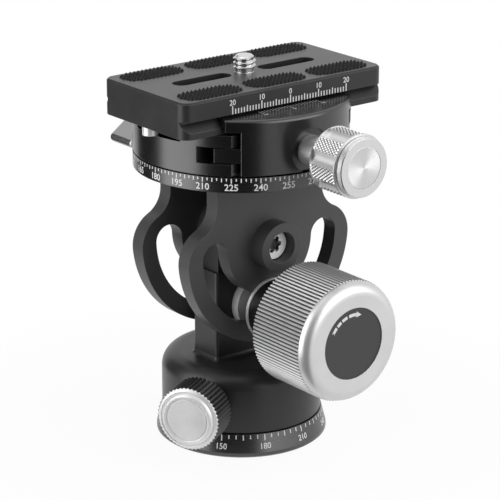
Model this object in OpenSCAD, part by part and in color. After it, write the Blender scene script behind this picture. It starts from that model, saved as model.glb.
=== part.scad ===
// Two-way monopod head: a rotating base, a tilting yoke on a stem, and a panning
// quick-release clamp that carries a grooved camera plate.
// The origin is the centre of the base's underside, with +Z up, the camera plate's
// long side along X and the knobs of the tilt lock and the clamp toward -Y.

/* [Base] */
// Radius of the round housing above the base ring
housing_r = 23.05; // [21.5:0.05:26]
// Height of the housing, from its underside to its flat top
housing_h = 17.4; // [16:0.1:20]
// Rounding of the housing's shoulder
housing_round = 5; // [2:0.1:6]
// Height of the base ring
base_h = 6.6; // [5:0.1:10]
// How far the base ring flares out below the housing
base_flare = 1.4; // [0.6:0.1:4]
// Step between the housing's wall and the base ring's top edge
base_step = 0.25; // [0.1:0.05:1]
// Chamfer of the base ring's foot
foot_chamfer = 0.5; // [0.3:0.1:1.5]
// Height of the upright band below the base ring's flare
skirt_edge = 0.9; // [0.4:0.1:2]
// Diameter of the monopod thread, 3/8 inch
thread_d = 9.525; // [6.35:0.005:12]
// Depth of the monopod thread
thread_depth = 12; // [8:0.1:14]
// Wall of the spindle round the thread
spindle_wall = 3.2; // [2:0.1:4]
// Height of the brake drum inside the housing
drum_h = 9; // [7:0.1:9.4]
// Wall of the brake drum outside the journal
drum_wall = 4; // [2.5:0.1:4.6]
// Thickness of the bearing washers
washer_t = 0.4; // [0.2:0.1:1]
// Thickness of the ring that keeps the drum in the housing
retainer_t = 3; // [2:0.1:4]
// Width of the retaining ring outside the drum
retainer_rim = 4.6; // [4.2:0.1:5.4]

/* [Pan lock knob] */
// Direction of the pan lock knob, from the front toward the left
pan_lock_angle = 61; // [40:1:80]
// Height of the pan lock's axis above the housing's underside
pan_lock_rise = 9.4; // [8:0.1:9.8]
// Radius of the pan lock knob
pan_knob_r = 9.3; // [7:0.1:11]
// Length of the ribbed grip
pan_knob_l = 8.9; // [6:0.1:14]
// Gap between the housing and the ribbed grip, filled by the knob's neck
pan_neck_l = 6.2; // [4:0.1:10]
// Radius of the knob's neck
pan_neck_r = 6; // [4.5:0.1:7]
// Count of ribs on the grip
pan_ribs = 48; // [24:2:72]
// Thickness of the metal cap
pan_cap_t = 1; // [0.8:0.1:2]
// Depth of the bright bevel that cuts the ribs' front ends
pan_bevel = 0.9; // [0.6:0.1:1.4]
// Radius of the flat middle of the metal cap
pan_cap_r = 5.85; // [4:0.05:6.4]
// Radius of the lock studs' thread at the base
pan_stud_r = 2.5; // [2:0.1:3]

/* [Stem] */
// Width of the stem along X
post_x = 26.2; // [22:0.1:29]
// Thickness of the stem along Y
post_y = 11; // [9:0.1:14]
// Height of the stem from the housing to its shoulder
post_h = 26.4; // [26:0.1:34]
// Rounding of the stem's upright edges
post_round = 0.9; // [0.3:0.1:2]
// Radius of the hollow foot round the stem
foot_spread = 1.3; // [0.4:0.1:2]
// How far the tongue is set in from the stem's sides
tongue_inset = 0.9; // [0.3:0.1:3]
// How far the tongue is set in from the stem's faces
tongue_relief = 0.5; // [0.2:0.1:1.5]
// Height of the tilt axis above the stem's shoulder
pivot_rise = 8.6; // [6:0.1:12]

/* [Yoke] */
// Radius of the yoke plates round the tilt axis
yoke_r = 28.7; // [27:0.05:31]
// Thickness of each yoke plate
yoke_t = 4.8; // [4.4:0.1:6]
// Gap between the stem's face and a yoke plate, filled by a spacer
spacer_t = 2.9; // [2:0.1:5]
// Width of the yoke plates' neck
neck_x = 37.4; // [34:0.1:42]
// Height of the turntable above the tilt axis
yoke_rise = 20.9; // [20.5:0.1:26]
// Radius of the hollow curve between neck and disc
blend_r = 7.8; // [5.5:0.1:8.5]
// Height above the tilt axis at which that curve begins
blend_rise = 13.8; // [13:0.1:15]
// Rounding of the shoulder between that curve and the disc
ear_round = 9.5; // [8:0.1:10.5]
// Radius of the curved guide slot's middle line
slot_r = 19.3; // [18.6:0.1:20.5]
// Angle from the guide slot's middle to each of its ends
tilt_reach = 88; // [80:1:90]
// Radius of the pivot bosses
boss_r = 7.1; // [6:0.1:8.5]
// How far the pivot bosses stand out
boss_h = 5.3; // [3:0.1:8]
// Radius of the pivot screws' recess
recess_r = 4.5; // [4:0.1:5.5]
// Depth at which the pivot screws' heads lie in the bosses
recess_depth = 3.5; // [1:0.1:4]
// Radius of the pivot shaft
pivot_r = 4; // [3.5:0.1:5]
// Radius of the friction washers on the pivot
friction_r = 7.5; // [6:0.1:8]

/* [Tilt lock] */
// Diameter of the lock bolt
lock_bolt_d = 8; // [6:0.1:8.5]
// Play of the lock bolt in the guide slots, each side
slot_play = 0.48; // [0.3:0.02:1]
// Radius of the spacers on the lock bolt
spacer_r = 7.8; // [6.5:0.1:9]
// Radius of the bright washer under the lock knob
lock_washer_r = 9.05; // [7.5:0.05:12]
// Thickness of that washer
lock_washer_t = 1; // [0.6:0.1:2]
// Radius of the lock knob
lock_knob_r = 17.3; // [14:0.1:20]
// Length of the lock knob's knurled part
lock_grip_l = 19.2; // [12:0.1:26]
// Length of the lock knob's plain neck
lock_neck_l = 12.5; // [8:0.1:18]
// Radius of the lock knob's plain neck
lock_neck_r = 8.8; // [8:0.1:12]
// Rounding of the lock knob's front edge
lock_front_round = 3.2; // [1.5:0.1:4]
// Radius of the dark disc in the lock knob's front
lock_insert_r = 10.2; // [8:0.1:12]
// Count of grooves in the lock knob's knurl
lock_knurls = 100; // [60:2:120]

/* [Turntable] */
// Radius of the turntable and of the clamp
head_r = 30.6; // [29.5:0.1:34]
// Thickness of the turntable, whose rim carries the upper scale
turntable_t = 4.2; // [3.4:0.1:6]
// Radius of the turntable's hub
hub_r = 9; // [7.5:0.1:9.4]
// Height of the hub above the turntable
hub_h = 5.5; // [5:0.1:5.8]
// Radius of the bolt that keeps the clamp on the hub
head_bolt_r = 3; // [2.5:0.1:3.5]

/* [Clamp] */
// Height from the clamp's underside to the floor of its channel
floor_h = 8.5; // [8.3:0.1:11]
// Height of the plate's seat above the channel's floor
seat_h = 2.8; // [2.5:0.1:5]
// Half width of the channel for the stop screws
channel_half = 9.5; // [6:0.1:11]
// Half length of the land that the stop screws meet
land_half = 18; // [14:0.1:22]
// Depth of the jaw with its split, from the clamp's rim
jaw_depth = 8.3; // [7:0.1:9]
// Width of the split at rest
split_gap = 1.7; // [1:0.1:3]
// Height of the clamp screw above the clamp's underside
screw_h = 5.6; // [5:0.1:6]
// Thickness of the jaw's guide tongue
jaw_tongue_t = 4; // [3:0.1:4.6]
// Length of the jaw's guide tongue
jaw_tongue_l = 5.4; // [4:0.1:7]
// Depth of the pocket beyond the tongue's end
pocket_spare = 4; // [2:0.1:5]
// Depth of the jaws' lips at their ends, outside the plate's edge
lip_end = 1.85; // [1:0.05:3]
// Rounding of the jaws' upper edge
jaw_round = 1; // [0.4:0.1:1.6]
// Wall of the jaw outside its guide pins
pin_wall = 0.55; // [0.4:0.05:1.5]
// Radius of the jaw's guide pins
pin_r = 1.5; // [1:0.1:1.9]

/* [Clamp knob] */
// Radius of the clamp screw
clamp_screw_r = 3; // [2.5:0.1:3]
// Radius of the clamp knob's collar
collar_r = 5; // [4:0.1:6.5]
// Length of the collar
collar_l = 10; // [6:0.1:14]
// Radius of the clamp knob
clamp_knob_r = 8.9; // [8:0.1:12]
// Length of the clamp knob
clamp_knob_l = 12.5; // [8:0.1:18]
// Count of flutes round the clamp knob
clamp_flutes = 6; // [4:1:8]
// Depth of the flutes
flute_depth = 1.1; // [0.4:0.1:1.6]
// Radius of the flutes' curve
flute_r = 3; // [2:0.1:4]
// Radius of the bright disc in the clamp knob's front
clamp_cap_r = 5.7; // [5:0.1:6.4]

/* [Pan wing] */
// Height of the wing screw's axis above the clamp's underside
wing_rise = 3.3; // [3:0.1:3.6]
// Slope of the wing at rest
wing_tilt = 28; // [0:1:35]
// Half span of the wing
wing_half = 17.4; // [15:0.1:22]
// Thickness of the wing
wing_t = 2.8; // [2:0.1:4]
// How far the wing reaches out from the clamp
wing_reach = 13.6; // [12:0.1:18]
// Radius of the wing's hub
wing_hub_r = 4.4; // [3.5:0.1:6]
// Radius of the wing's stud
wing_stud_r = 2; // [1.5:0.1:2.4]

/* [Camera plate] */
// Length of the camera plate
plate_l = 70; // [66:0.5:90]
// Width of the camera plate across its dovetail
plate_w = 37.8; // [36.6:0.1:38.4]
// Thickness of the plate above the grooves
slab_t = 5.25; // [4:0.05:7]
// Height of the grooves at the plate's edge
groove_h = 3.2; // [2.8:0.1:4]
// Depth of the grooves
groove_d = 2.4; // [2:0.1:2.7]
// Thickness of the plate below the grooves
flange_t = 1.65; // [1.2:0.05:2.5]
// Rounding of the plate's corners
plate_round = 3.1; // [1:0.1:5]
// Where the plate stands along the clamp
plate_x = 0.7; // [-4:0.1:4]
// How far the plate's middle line is from the clamp's
plate_y = -0.5; // [-1:0.1:1]
// Diameter of the camera thread, 1/4 inch
camera_d = 6.35; // [5:0.01:7]
// How far the camera screw stands above the plate
camera_rise = 4.8; // [3:0.1:6]
// Length of the two long slots
slot_l = 19.2; // [14:0.1:20]
// Width of the two long slots
slot_w = 5.2; // [4:0.1:7]
// Distance of the long slots' middles from the plate's middle
slot_x = 14.85; // [14.7:0.05:17]
// Length of the rubber pads
pad_l = 19.6; // [14:0.1:21]
// Width of the rubber pads
pad_w = 8.6; // [6:0.1:9.2]
// Height of the rubber pads above the plate
pad_rise = 0.3; // [0.1:0.05:1]
// Pitch of the pads along the plate
pad_pitch = 22.2; // [21.4:0.1:22.8]
// Distance of the pad rows from the plate's middle line
pad_row = 13.2; // [12.8:0.1:13.6]
// Distance of the stop screws from the plate's ends
stop_inset = 2.5; // [2.4:0.1:4]
// Radius of the stop screws
stop_r = 2.2; // [1.6:0.1:2.3]

/* [Fits] */
// Radial clearance of turning and sliding fits
run_clear = 0.06; // [0.03:0.01:0.1]
// Clearance between pieces that are fixed together
fit_clear = 0.03; // [0.01:0.01:0.06]
// Clearance between parts that pass each other
free_clear = 0.3; // [0.2:0.05:0.5]
// Clearance between flat faces that turn on each other
face_clear = 0.1; // [0.05:0.01:0.2]

/* [Hidden] */
$fn = 96;
eps = 0.01;

// Levels of the base
housing_z = base_h + washer_t;
housing_top = housing_z + housing_h;
base_top_r = housing_r + base_step;
base_r = base_top_r + base_flare;
spindle_r = thread_d / 2 + spindle_wall;
journal_step = 2;
journal_r = spindle_r + journal_step;
drum_r = journal_r + drum_wall;
drum_z = housing_z + retainer_t + face_clear;
retainer_r = drum_r + retainer_rim;
retainer_screw_r = 1.25;
retainer_head_r = 2.3;
retainer_circle = drum_r + retainer_rim / 2 + 0.4;
retainer_screw_l = 5.5;
retainer_count = 4;

// Pan lock, measured outward from the middle along its own axis
pan_lock_z = housing_z + pan_lock_rise;
pan_pad_t = 2.2;
pan_pad_gap = 0.2;
pan_pad_start = drum_r + pan_pad_gap;
pan_stud_start = pan_pad_start + pan_pad_t + fit_clear;
pan_neck_gap = 0.8;
pan_grip_start = housing_r + pan_neck_l;
pan_grip_end = pan_grip_start + pan_knob_l;
pan_stud_end = pan_grip_end - 2;
pan_rib_depth = 0.45;
pan_cap_sink = 0.35;
pan_teeth_z = pan_grip_end + 0.6 * pan_cap_t - pan_bevel;
pan_face_r = pan_knob_r - pan_bevel;

// Levels of the stem and the tilt axis
post_top = housing_top + post_h;
pivot_z = post_top + pivot_rise;
tongue_x = post_x - 2 * tongue_inset;
tongue_y = post_y - 2 * tongue_relief;
yoke_inner = post_y / 2 + spacer_t;
yoke_outer = yoke_inner + yoke_t;
washer_r = min(friction_r, pivot_rise - 2 * free_clear);
shaft_seat = 2.5;
shaft_end = yoke_inner + shaft_seat - fit_clear;
pivot_screw_r = 2.5;
pivot_head_t = 2.1;
lobe_r = 2.5;
boss_face = yoke_outer + boss_h;
head_face = boss_face - recess_depth;
recess_floor = head_face - pivot_head_t - fit_clear;
pivot_screw_l = 6;

// The yoke plate's outline, in the plate's own plane with the tilt axis at zero
blend_x = neck_x / 2 + blend_r;
ear_far = blend_r + ear_round;
ear_near = yoke_r - ear_round;
blend_dist = norm([blend_x, blend_rise]);
ear_along = (ear_near * ear_near - ear_far * ear_far + blend_dist * blend_dist) / (2 * blend_dist);
ear_across = sqrt(ear_near * ear_near - ear_along * ear_along);
blend_dir = [blend_x, blend_rise] / blend_dist;
ear = ear_along * blend_dir + ear_across * [blend_dir[1], -blend_dir[0]];
ear_top_angle = atan2(blend_rise - ear[1], blend_x - ear[0]);
ear_disc_angle = atan2(ear[1], ear[0]);
yoke_top = yoke_rise;
guide_w = lock_bolt_d + 2 * slot_play;

// Tilt lock, measured toward the front from the middle
lock_z = pivot_z - slot_r;
lock_washer_start = yoke_outer + 0.2;
lock_neck_start = lock_washer_start + lock_washer_t + fit_clear;
lock_grip_start = lock_neck_start + lock_neck_l;
lock_grip_end = lock_grip_start + lock_grip_l;
lock_front = lock_grip_end + lock_front_round;
lock_insert_t = 2.6;
lock_insert_sink = 0.3;
lock_nut_wall = 2.4;
lock_nut_r = lock_bolt_d / 2 + lock_nut_wall;
lock_front_wall = 5;
lock_nut_end = lock_grip_end - lock_front_wall;
lock_bolt_end = lock_nut_end - 1;
lock_head_r = 7.8;
lock_head_t = 4.4;
lock_knurl_depth = 0.5;
lock_plain_edge = 0.3;

// Levels of the turntable and the clamp
turntable_z = pivot_z + yoke_rise;
turntable_top = turntable_z + turntable_t;
clamp_z = turntable_top + washer_t;
hub_top = turntable_top + hub_h;
floor_z = clamp_z + floor_h;
seat_z = floor_z + seat_h;
cavity_top = hub_top + free_clear;
head_web = 2.3;
head_seat_z = cavity_top + head_web;
head_bolt_head_r = head_bolt_r + 2;
head_bolt_head_t = 2.6;
head_bolt_l = 7;
head_washer_wide = 0.7;
yoke_screw_x = 13;
yoke_screw_r = 2;
yoke_screw_head_r = 3.6;
yoke_screw_l = 9;

// Camera plate
seat_clear = 0.1;
plate_z = seat_z + seat_clear;
flange_z = plate_z + flange_t;
slab_z = flange_z + groove_h;
plate_top = slab_z + slab_t;
top_chamfer = 0.5;
camera_neck_r = camera_d / 2 - 0.45;
camera_head_wide = 1.75;
camera_head_r = min(slot_x - slot_l / 2 - 0.3, camera_d / 2 + camera_head_wide);
camera_head_t = 2.4;
camera_head_z = plate_z + 1.7;
camera_recess_top = camera_head_z + camera_head_t + face_clear;
camera_tip = 0.7;
pad_sink = 0.5;
stop_drop = 2.5;
stop_shank_r = 1.5;
stop_shank_l = 5;
stop_x = plate_l / 2 - stop_inset;

// The jaws' lips lie along the dovetail's slope
edge_near = plate_y - plate_w / 2;
edge_far = plate_y + plate_w / 2;
lip_half = sqrt(pow(head_r, 2) - pow(plate_w / 2 + abs(plate_y) + lip_end, 2));
lip_clear = 0.25;
lip_side = 0.75;
lip_top = slab_z - 0.7;
lip_under = seat_z + 0.9;
split_y = head_r - jaw_depth;
jaw_y = split_y + split_gap;
jaw_z = clamp_z + face_clear;
screw_z = clamp_z + screw_h;
tongue_clear = 0.3;
tongue_set = 0.2;
tongue_end = jaw_y - jaw_tongue_l;
pocket_end = tongue_end - pocket_spare;
pin_hold = 4;
pin_start = pocket_end - pin_hold;
pin_grip = 1.2;
pin_end = jaw_y + pin_grip;
pin_x = sqrt(pow(head_r, 2) - pow(pin_end + pin_wall, 2)) - pin_r;
clamp_screw_tip = hub_r + 1.4;
spot_y = sqrt(head_r * head_r - collar_r * collar_r) - 0.4;
spot_r = collar_r + 1.2;
collar_start = spot_y + face_clear;
clamp_grip_start = collar_start + collar_l;
clamp_front = clamp_grip_start + clamp_knob_l;
clamp_heel = 0.5;
clamp_band = 0.9;
clamp_band_set = 0.05;
clamp_neck = 0.3;
clamp_neck_set = 0.9;
clamp_rim = 1.8;
clamp_rim_set = 0.75;
clamp_edge = 0.25;
flute_end = clamp_front - clamp_rim - clamp_neck - clamp_band;
clamp_cap_t = 1.4;
clamp_cap_sink = 0.05;
clamp_front_wall = 4;
clamp_screw_end = clamp_front - clamp_front_wall;

// Pan wing, measured toward the back from the middle
wing_z = clamp_z + wing_rise;
wing_pad_gap = 0.12;
wing_pad_t = 2;
wing_pad_start = hub_r + wing_pad_gap;
wing_stud_start = wing_pad_start + wing_pad_t + fit_clear;
wing_start = head_r + 0.6;
wing_hub_l = 9;
wing_stud_end = wing_start + wing_hub_l - 2;
wing_tip_l = 11.7;
wing_edge = wing_t / 2;

// A rectangle with round corners, in the plane
module rounded_rect(w, d, r) {
    square([w - 2 * r, d], center = true);
    square([w, d - 2 * r], center = true);
    for (x = [-1, 1], y = [-1, 1])
        translate([x * (w / 2 - r), y * (d / 2 - r)])
            circle(r = r);
}

// A slot's outline with full round ends, along X
module obround(l, w) {
    square([l - w, w], center = true);
    for (x = [-1, 1])
        translate([x * (l - w) / 2, 0])
            circle(r = w / 2);
}

// A round grip's outline with V grooves cut all round it
module grooved_circle(r, depth, count) {
    polygon([
        for (i = [0 : 2 * count - 1])
            let (a = i * 180 / count, rr = i % 2 == 0 ? r : r - depth)
            [rr * cos(a), rr * sin(a)]
    ]);
}

// A flat ring lying on level z
module flat_ring(outer, inner, z, t) {
    translate([0, 0, z])
        difference() {
            cylinder(r = outer, h = t);
            translate([0, 0, -1])
                cylinder(r = inner, h = t + 2);
        }
}

// A screw with a conical head at the origin, its head face up and its shank down
module flat_head_screw(shank_r, head_r, length) {
    cone_h = head_r - shank_r;
    translate([0, 0, -length])
        cylinder(r = shank_r, h = length - cone_h / 2);
    translate([0, 0, -cone_h])
        cylinder(r1 = shank_r, r2 = head_r, h = cone_h);
}

// Places a child so that its +Z points to the front, at height z
module to_front(z) {
    translate([0, 0, z])
        rotate([90, 0, 0])
            children();
}

// Places a child so that its +Z points to the back, at height z
module to_back(z) {
    translate([0, 0, z])
        rotate([-90, 0, 0])
            children();
}

// Places a child so that its +Z points outward along the pan lock's axis
module to_pan_lock() {
    translate([0, 0, pan_lock_z])
        rotate([0, 0, 270 - pan_lock_angle])
            rotate([0, 90, 0])
                children();
}

// Base ring with its flared skirt, which carries the lower scale
module base_ring() {
    color("#1d1e20")
        rotate_extrude()
            polygon([
                [spindle_r + fit_clear, 0],
                [base_r - foot_chamfer, 0],
                [base_r, foot_chamfer],
                [base_r, foot_chamfer + skirt_edge],
                [base_top_r, base_h],
                [spindle_r + fit_clear, base_h]
            ]);
}

// Steel spindle with the monopod thread below and the brake drum above
module pan_spindle() {
    color("#8d8f92")
        difference() {
            union() {
                cylinder(r = spindle_r, h = base_h + eps);
                translate([0, 0, base_h])
                    cylinder(r = journal_r, h = drum_z - base_h + eps);
                translate([0, 0, drum_z])
                    cylinder(r = drum_r, h = drum_h);
            }
            translate([0, 0, -1])
                cylinder(r = thread_d / 2, h = thread_depth + 1);
        }
}

// Bearing washer between the base ring and the housing
module pan_washer() {
    color("#101012")
        flat_ring(housing_r - 1, journal_r + free_clear, base_h, washer_t);
}

// Ring screwed into the housing's underside, which keeps the drum in
module pan_retainer() {
    color("#77797c")
        difference() {
            flat_ring(retainer_r, journal_r + run_clear, housing_z, retainer_t);
            at_retainer_screws()
                flat_head_screw(retainer_screw_r + fit_clear, retainer_head_r + fit_clear, retainer_screw_l);
        }
}

// Places a child at each retaining screw, with its +Z pointing down
module at_retainer_screws() {
    for (i = [0 : retainer_count - 1])
        rotate([0, 0, 45 + i * 360 / retainer_count])
            translate([retainer_circle, 0, housing_z])
                rotate([180, 0, 0])
                    children();
}

// Countersunk screws of the retaining ring
module retainer_screws() {
    color("#5c5e61")
        at_retainer_screws()
            flat_head_screw(retainer_screw_r, retainer_head_r, retainer_screw_l);
}

// Round housing with its shoulder, hollow for the drum
module housing_shell() {
    rotate_extrude()
        union() {
            translate([0, housing_z])
                square([housing_r - housing_round, housing_h]);
            translate([0, housing_z])
                square([housing_r, housing_h - housing_round]);
            translate([housing_r - housing_round, housing_top - housing_round])
                intersection() {
                    circle(r = housing_round);
                    square(housing_round);
                }
        }
}

// Section of the hollow foot, against an upright face at distance d
module foot_section(d) {
    difference() {
        translate([0, housing_top - 1])
            square([d + foot_spread, foot_spread + 1]);
        translate([d + foot_spread, housing_top + foot_spread])
            circle(r = foot_spread);
    }
}

// Hollow foot round the stem: four straight runs and four turned corners
module stem_foot() {
    run_x = post_x - 2 * post_round;
    run_y = post_y - 2 * post_round;
    for (side = [0, 1]) {
        mirror([0, side, 0])
            rotate([90, 0, 90])
                linear_extrude(height = run_x, center = true)
                    foot_section(post_y / 2);
        mirror([side, 0, 0])
            rotate([90, 0, 0])
                linear_extrude(height = run_y, center = true)
                    foot_section(post_x / 2);
    }
    for (x = [-1, 1], y = [-1, 1])
        translate([x * run_x / 2, y * run_y / 2, 0])
            rotate_extrude()
                foot_section(post_round);
}

// Stem with its shoulder, and the round-ended tongue that the yoke turns on
module stem() {
    translate([0, 0, housing_top - 1])
        linear_extrude(height = post_h + 1)
            rounded_rect(post_x, post_y, post_round);
    to_front(0)
        linear_extrude(height = tongue_y, center = true) {
            translate([-tongue_x / 2, post_top - 1])
                square([tongue_x, pivot_rise + 1]);
            translate([0, pivot_z])
                circle(r = tongue_x / 2);
        }
}

// Housing and stem in one piece, with the seats of the drum, lock and pivot
module stem_housing() {
    color("#232427")
        difference() {
            union() {
                housing_shell();
                stem_foot();
                stem();
            }
            translate([0, 0, housing_z - 1])
                cylinder(r = retainer_r + fit_clear, h = retainer_t + 1);
            translate([0, 0, housing_z])
                cylinder(r = drum_r + free_clear, h = drum_z + drum_h + free_clear - housing_z);
            at_retainer_screws()
                flat_head_screw(retainer_screw_r + fit_clear, retainer_head_r, retainer_screw_l + 0.5);
            to_pan_lock()
                translate([0, 0, drum_r])
                    cylinder(r = pan_stud_r + run_clear, h = housing_r);
            to_front(pivot_z)
                cylinder(r = pivot_r + run_clear, h = post_y + 2, center = true);
            to_front(lock_z)
                cylinder(r = lock_bolt_d / 2 + fit_clear, h = post_y + 2, center = true);
        }
}

// Nylon pad that the pan lock presses on the drum
module pan_lock_pad() {
    color("#d8d4c8")
        to_pan_lock()
            translate([0, 0, pan_pad_start])
                cylinder(r = pan_stud_r, h = pan_pad_t);
}

// Threaded stud of the pan lock
module pan_lock_stud() {
    color("#9a9c9f")
        to_pan_lock()
            translate([0, 0, pan_stud_start])
                cylinder(r = pan_stud_r, h = pan_stud_end - pan_stud_start);
}

// Black ribbed grip of the pan lock with its neck
module pan_lock_knob() {
    color("#17181a")
        to_pan_lock()
            difference() {
                union() {
                    translate([0, 0, housing_r + pan_neck_gap])
                        cylinder(r = pan_neck_r, h = pan_neck_l - pan_neck_gap + eps);
                    translate([0, 0, pan_grip_start])
                        linear_extrude(height = pan_teeth_z - pan_grip_start)
                            grooved_circle(pan_knob_r, pan_rib_depth, pan_ribs);
                }
                translate([0, 0, pan_stud_start])
                    cylinder(r = pan_stud_r + fit_clear, h = pan_stud_end - pan_stud_start + fit_clear);
            }
}

// Bright front of the pan lock: toothed bevel, sloped ring and a sunk flat middle
module pan_lock_cap() {
    top = pan_cap_t * 0.4;
    color("#c9cbcd")
        to_pan_lock() {
            translate([0, 0, pan_teeth_z])
                intersection() {
                    linear_extrude(height = pan_bevel)
                        grooved_circle(pan_knob_r, pan_rib_depth, pan_ribs);
                    cylinder(r1 = pan_knob_r + eps, r2 = pan_face_r, h = pan_bevel);
                }
            translate([0, 0, pan_teeth_z + pan_bevel - eps])
                rotate_extrude()
                    polygon([
                        [0, 0],
                        [pan_face_r - 0.1, 0],
                        [pan_cap_r + 1.25, top],
                        [pan_cap_r + 0.25, top],
                        [pan_cap_r, top - pan_cap_sink],
                        [0, top - pan_cap_sink]
                    ]);
        }
}

// Bolt of the tilt lock, with its socket head behind the rear plate
module lock_bolt() {
    back = -yoke_outer - free_clear - lock_head_t;
    color("#8d8f92")
        to_front(lock_z)
            difference() {
                union() {
                    translate([0, 0, -yoke_outer - free_clear])
                        cylinder(r = lock_bolt_d / 2, h = yoke_outer + free_clear + lock_bolt_end);
                    translate([0, 0, back])
                        cylinder(r1 = lock_head_r - 0.5, r2 = lock_head_r, h = 0.5);
                    translate([0, 0, back + 0.5 - eps])
                        cylinder(r = lock_head_r, h = lock_head_t - 0.5 + 2 * eps);
                }
                translate([0, 0, back - 1])
                    cylinder(r = lock_bolt_d * 0.44, h = 1 + lock_head_t * 0.7, $fn = 6);
            }
}

// Spacers on the lock bolt, between the stem and the plates
module lock_spacers() {
    color("#6a6c6f")
        for (side = [-1, 1])
            to_front(lock_z)
                translate([0, 0, side * (post_y + spacer_t) / 2])
                    difference() {
                        cylinder(r = spacer_r, h = spacer_t - 2 * face_clear, center = true);
                        cylinder(r = lock_bolt_d / 2 + fit_clear, h = spacer_t + 1, center = true);
                    }
}

// Bright washer that the lock knob presses on the front plate
module lock_washer() {
    color("#d6d7d8")
        to_front(lock_z)
            flat_ring(lock_washer_r, lock_bolt_d / 2 + run_clear, lock_washer_start, lock_washer_t);
}

// Lock knob: plain neck, knurled grip, rounded front edge and a seat for the disc
module lock_knob() {
    front_r = lock_knob_r - lock_plain_edge;
    color("#c3c5c7")
        to_front(lock_z)
            difference() {
                union() {
                    translate([0, 0, lock_neck_start])
                        cylinder(r = lock_neck_r, h = lock_neck_l + eps);
                    translate([0, 0, lock_grip_start])
                        linear_extrude(height = lock_grip_l)
                            grooved_circle(lock_knob_r, lock_knurl_depth, lock_knurls);
                    translate([0, 0, lock_grip_end - eps])
                        rotate_extrude()
                            union() {
                                square([front_r - lock_front_round, lock_front_round + eps]);
                                translate([front_r - lock_front_round, 0])
                                    intersection() {
                                        circle(r = lock_front_round);
                                        square(lock_front_round);
                                    }
                            }
                }
                translate([0, 0, lock_neck_start - 1])
                    cylinder(r = lock_nut_r + fit_clear, h = lock_nut_end - lock_neck_start + 1);
                translate([0, 0, lock_front - lock_insert_t - lock_insert_sink])
                    cylinder(r = lock_insert_r + fit_clear, h = lock_insert_t + 2);
            }
}

// Threaded bush pressed into the lock knob
module lock_nut() {
    color("#b08d4c")
        to_front(lock_z)
            flat_ring(lock_nut_r, lock_bolt_d / 2 + run_clear, lock_neck_start, lock_nut_end - lock_neck_start);
}

// Dark disc in the lock knob's front
module lock_knob_insert() {
    color("#46484a")
        to_front(lock_z)
            translate([0, 0, lock_front - lock_insert_t - lock_insert_sink])
                cylinder(r = lock_insert_r, h = lock_insert_t);
}

// Points of an arc from one angle to another
function arc(c, r, from, to, count) = [
    for (i = [0 : count])
        let (a = from + (to - from) * i / count)
        c + r * [cos(a), sin(a)]
];

// Right half of a yoke plate's outline, from the foot of the disc up to the neck
function yoke_half() = concat(
    arc([0, 0], yoke_r, -90, ear_disc_angle, 48),
    arc(ear, ear_round, ear_disc_angle, ear_top_angle, 12),
    arc([blend_x, blend_rise], blend_r, ear_top_angle + 180, 180, 16),
    [[neck_x / 2, yoke_top]]
);

// Outline of a yoke plate: disc below, rounded shoulders and neck above
module yoke_outline() {
    half = yoke_half();
    polygon(concat(half, [for (i = [len(half) - 1 : -1 : 1]) [-half[i][0], half[i][1]]]));
}

// Curved slot round the tilt axis, which the lock bolt runs in
module guide_slot() {
    far = 2 * slot_r;
    way = [sin(tilt_reach), -cos(tilt_reach)];
    difference() {
        circle(r = slot_r + guide_w / 2);
        circle(r = slot_r - guide_w / 2);
        polygon([[0, 0], far * way, [far, far], [-far, far], far * [-way[0], way[1]]]);
    }
    for (side = [-1, 1])
        translate(slot_r * [side * way[0], way[1]])
            circle(r = guide_w / 2);
}

// One yoke plate with its boss, on the front side
module yoke_plate() {
    difference() {
        to_front(pivot_z) {
            translate([0, 0, yoke_inner])
                linear_extrude(height = yoke_t)
                    difference() {
                        yoke_outline();
                        guide_slot();
                    }
            translate([0, 0, yoke_outer - eps])
                cylinder(r = boss_r, h = boss_h + eps);
        }
        to_front(pivot_z) {
            translate([0, 0, yoke_inner - 1])
                cylinder(r = pivot_r + fit_clear, h = shaft_seat + 1);
            translate([0, 0, yoke_inner])
                cylinder(r = pivot_screw_r + fit_clear, h = yoke_t + boss_h);
            translate([0, 0, recess_floor])
                cylinder(r = recess_r, h = boss_face);
        }
        at_yoke_screws()
            cylinder(r = yoke_screw_r + fit_clear, h = 2 * (yoke_screw_l + 0.5), center = true);
    }
}

// Places a child at the screws that hold a yoke plate under the turntable
module at_yoke_screws() {
    for (x = [-yoke_screw_x, yoke_screw_x], y = [-1, 1])
        translate([x, y * (yoke_inner + yoke_t / 2), turntable_top])
            children();
}

// Front yoke plate, on the lock knob's side
module yoke_front_plate() {
    color("#2a2b2d")
        yoke_plate();
}

// Rear yoke plate
module yoke_rear_plate() {
    color("#2a2b2d")
        mirror([0, 1, 0])
            yoke_plate();
}

// Shaft of the tilt axis
module pivot_shaft() {
    color("#8d8f92")
        to_front(pivot_z)
            difference() {
                cylinder(r = pivot_r, h = 2 * shaft_end, center = true);
                for (side = [0, 1])
                    mirror([0, 0, side])
                        translate([0, 0, shaft_end - pivot_screw_l])
                            cylinder(r = pivot_screw_r + fit_clear, h = pivot_screw_l + 1);
            }
}

// Friction washers between the tongue and the plates
module pivot_washers() {
    color("#e2ded2")
        for (side = [0, 1])
            to_front(pivot_z)
                mirror([0, 0, side])
                    flat_ring(washer_r, pivot_r + fit_clear, tongue_y / 2 + face_clear,
                        yoke_inner - tongue_y / 2 - face_clear - fit_clear);
}

// A six-lobe recess, in the plane
module lobe_recess(r) {
    circle(r = r * 0.72);
    for (i = [0 : 5])
        rotate(i * 60)
            translate([r * 0.72, 0])
                circle(r = r * 0.28);
}

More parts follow.
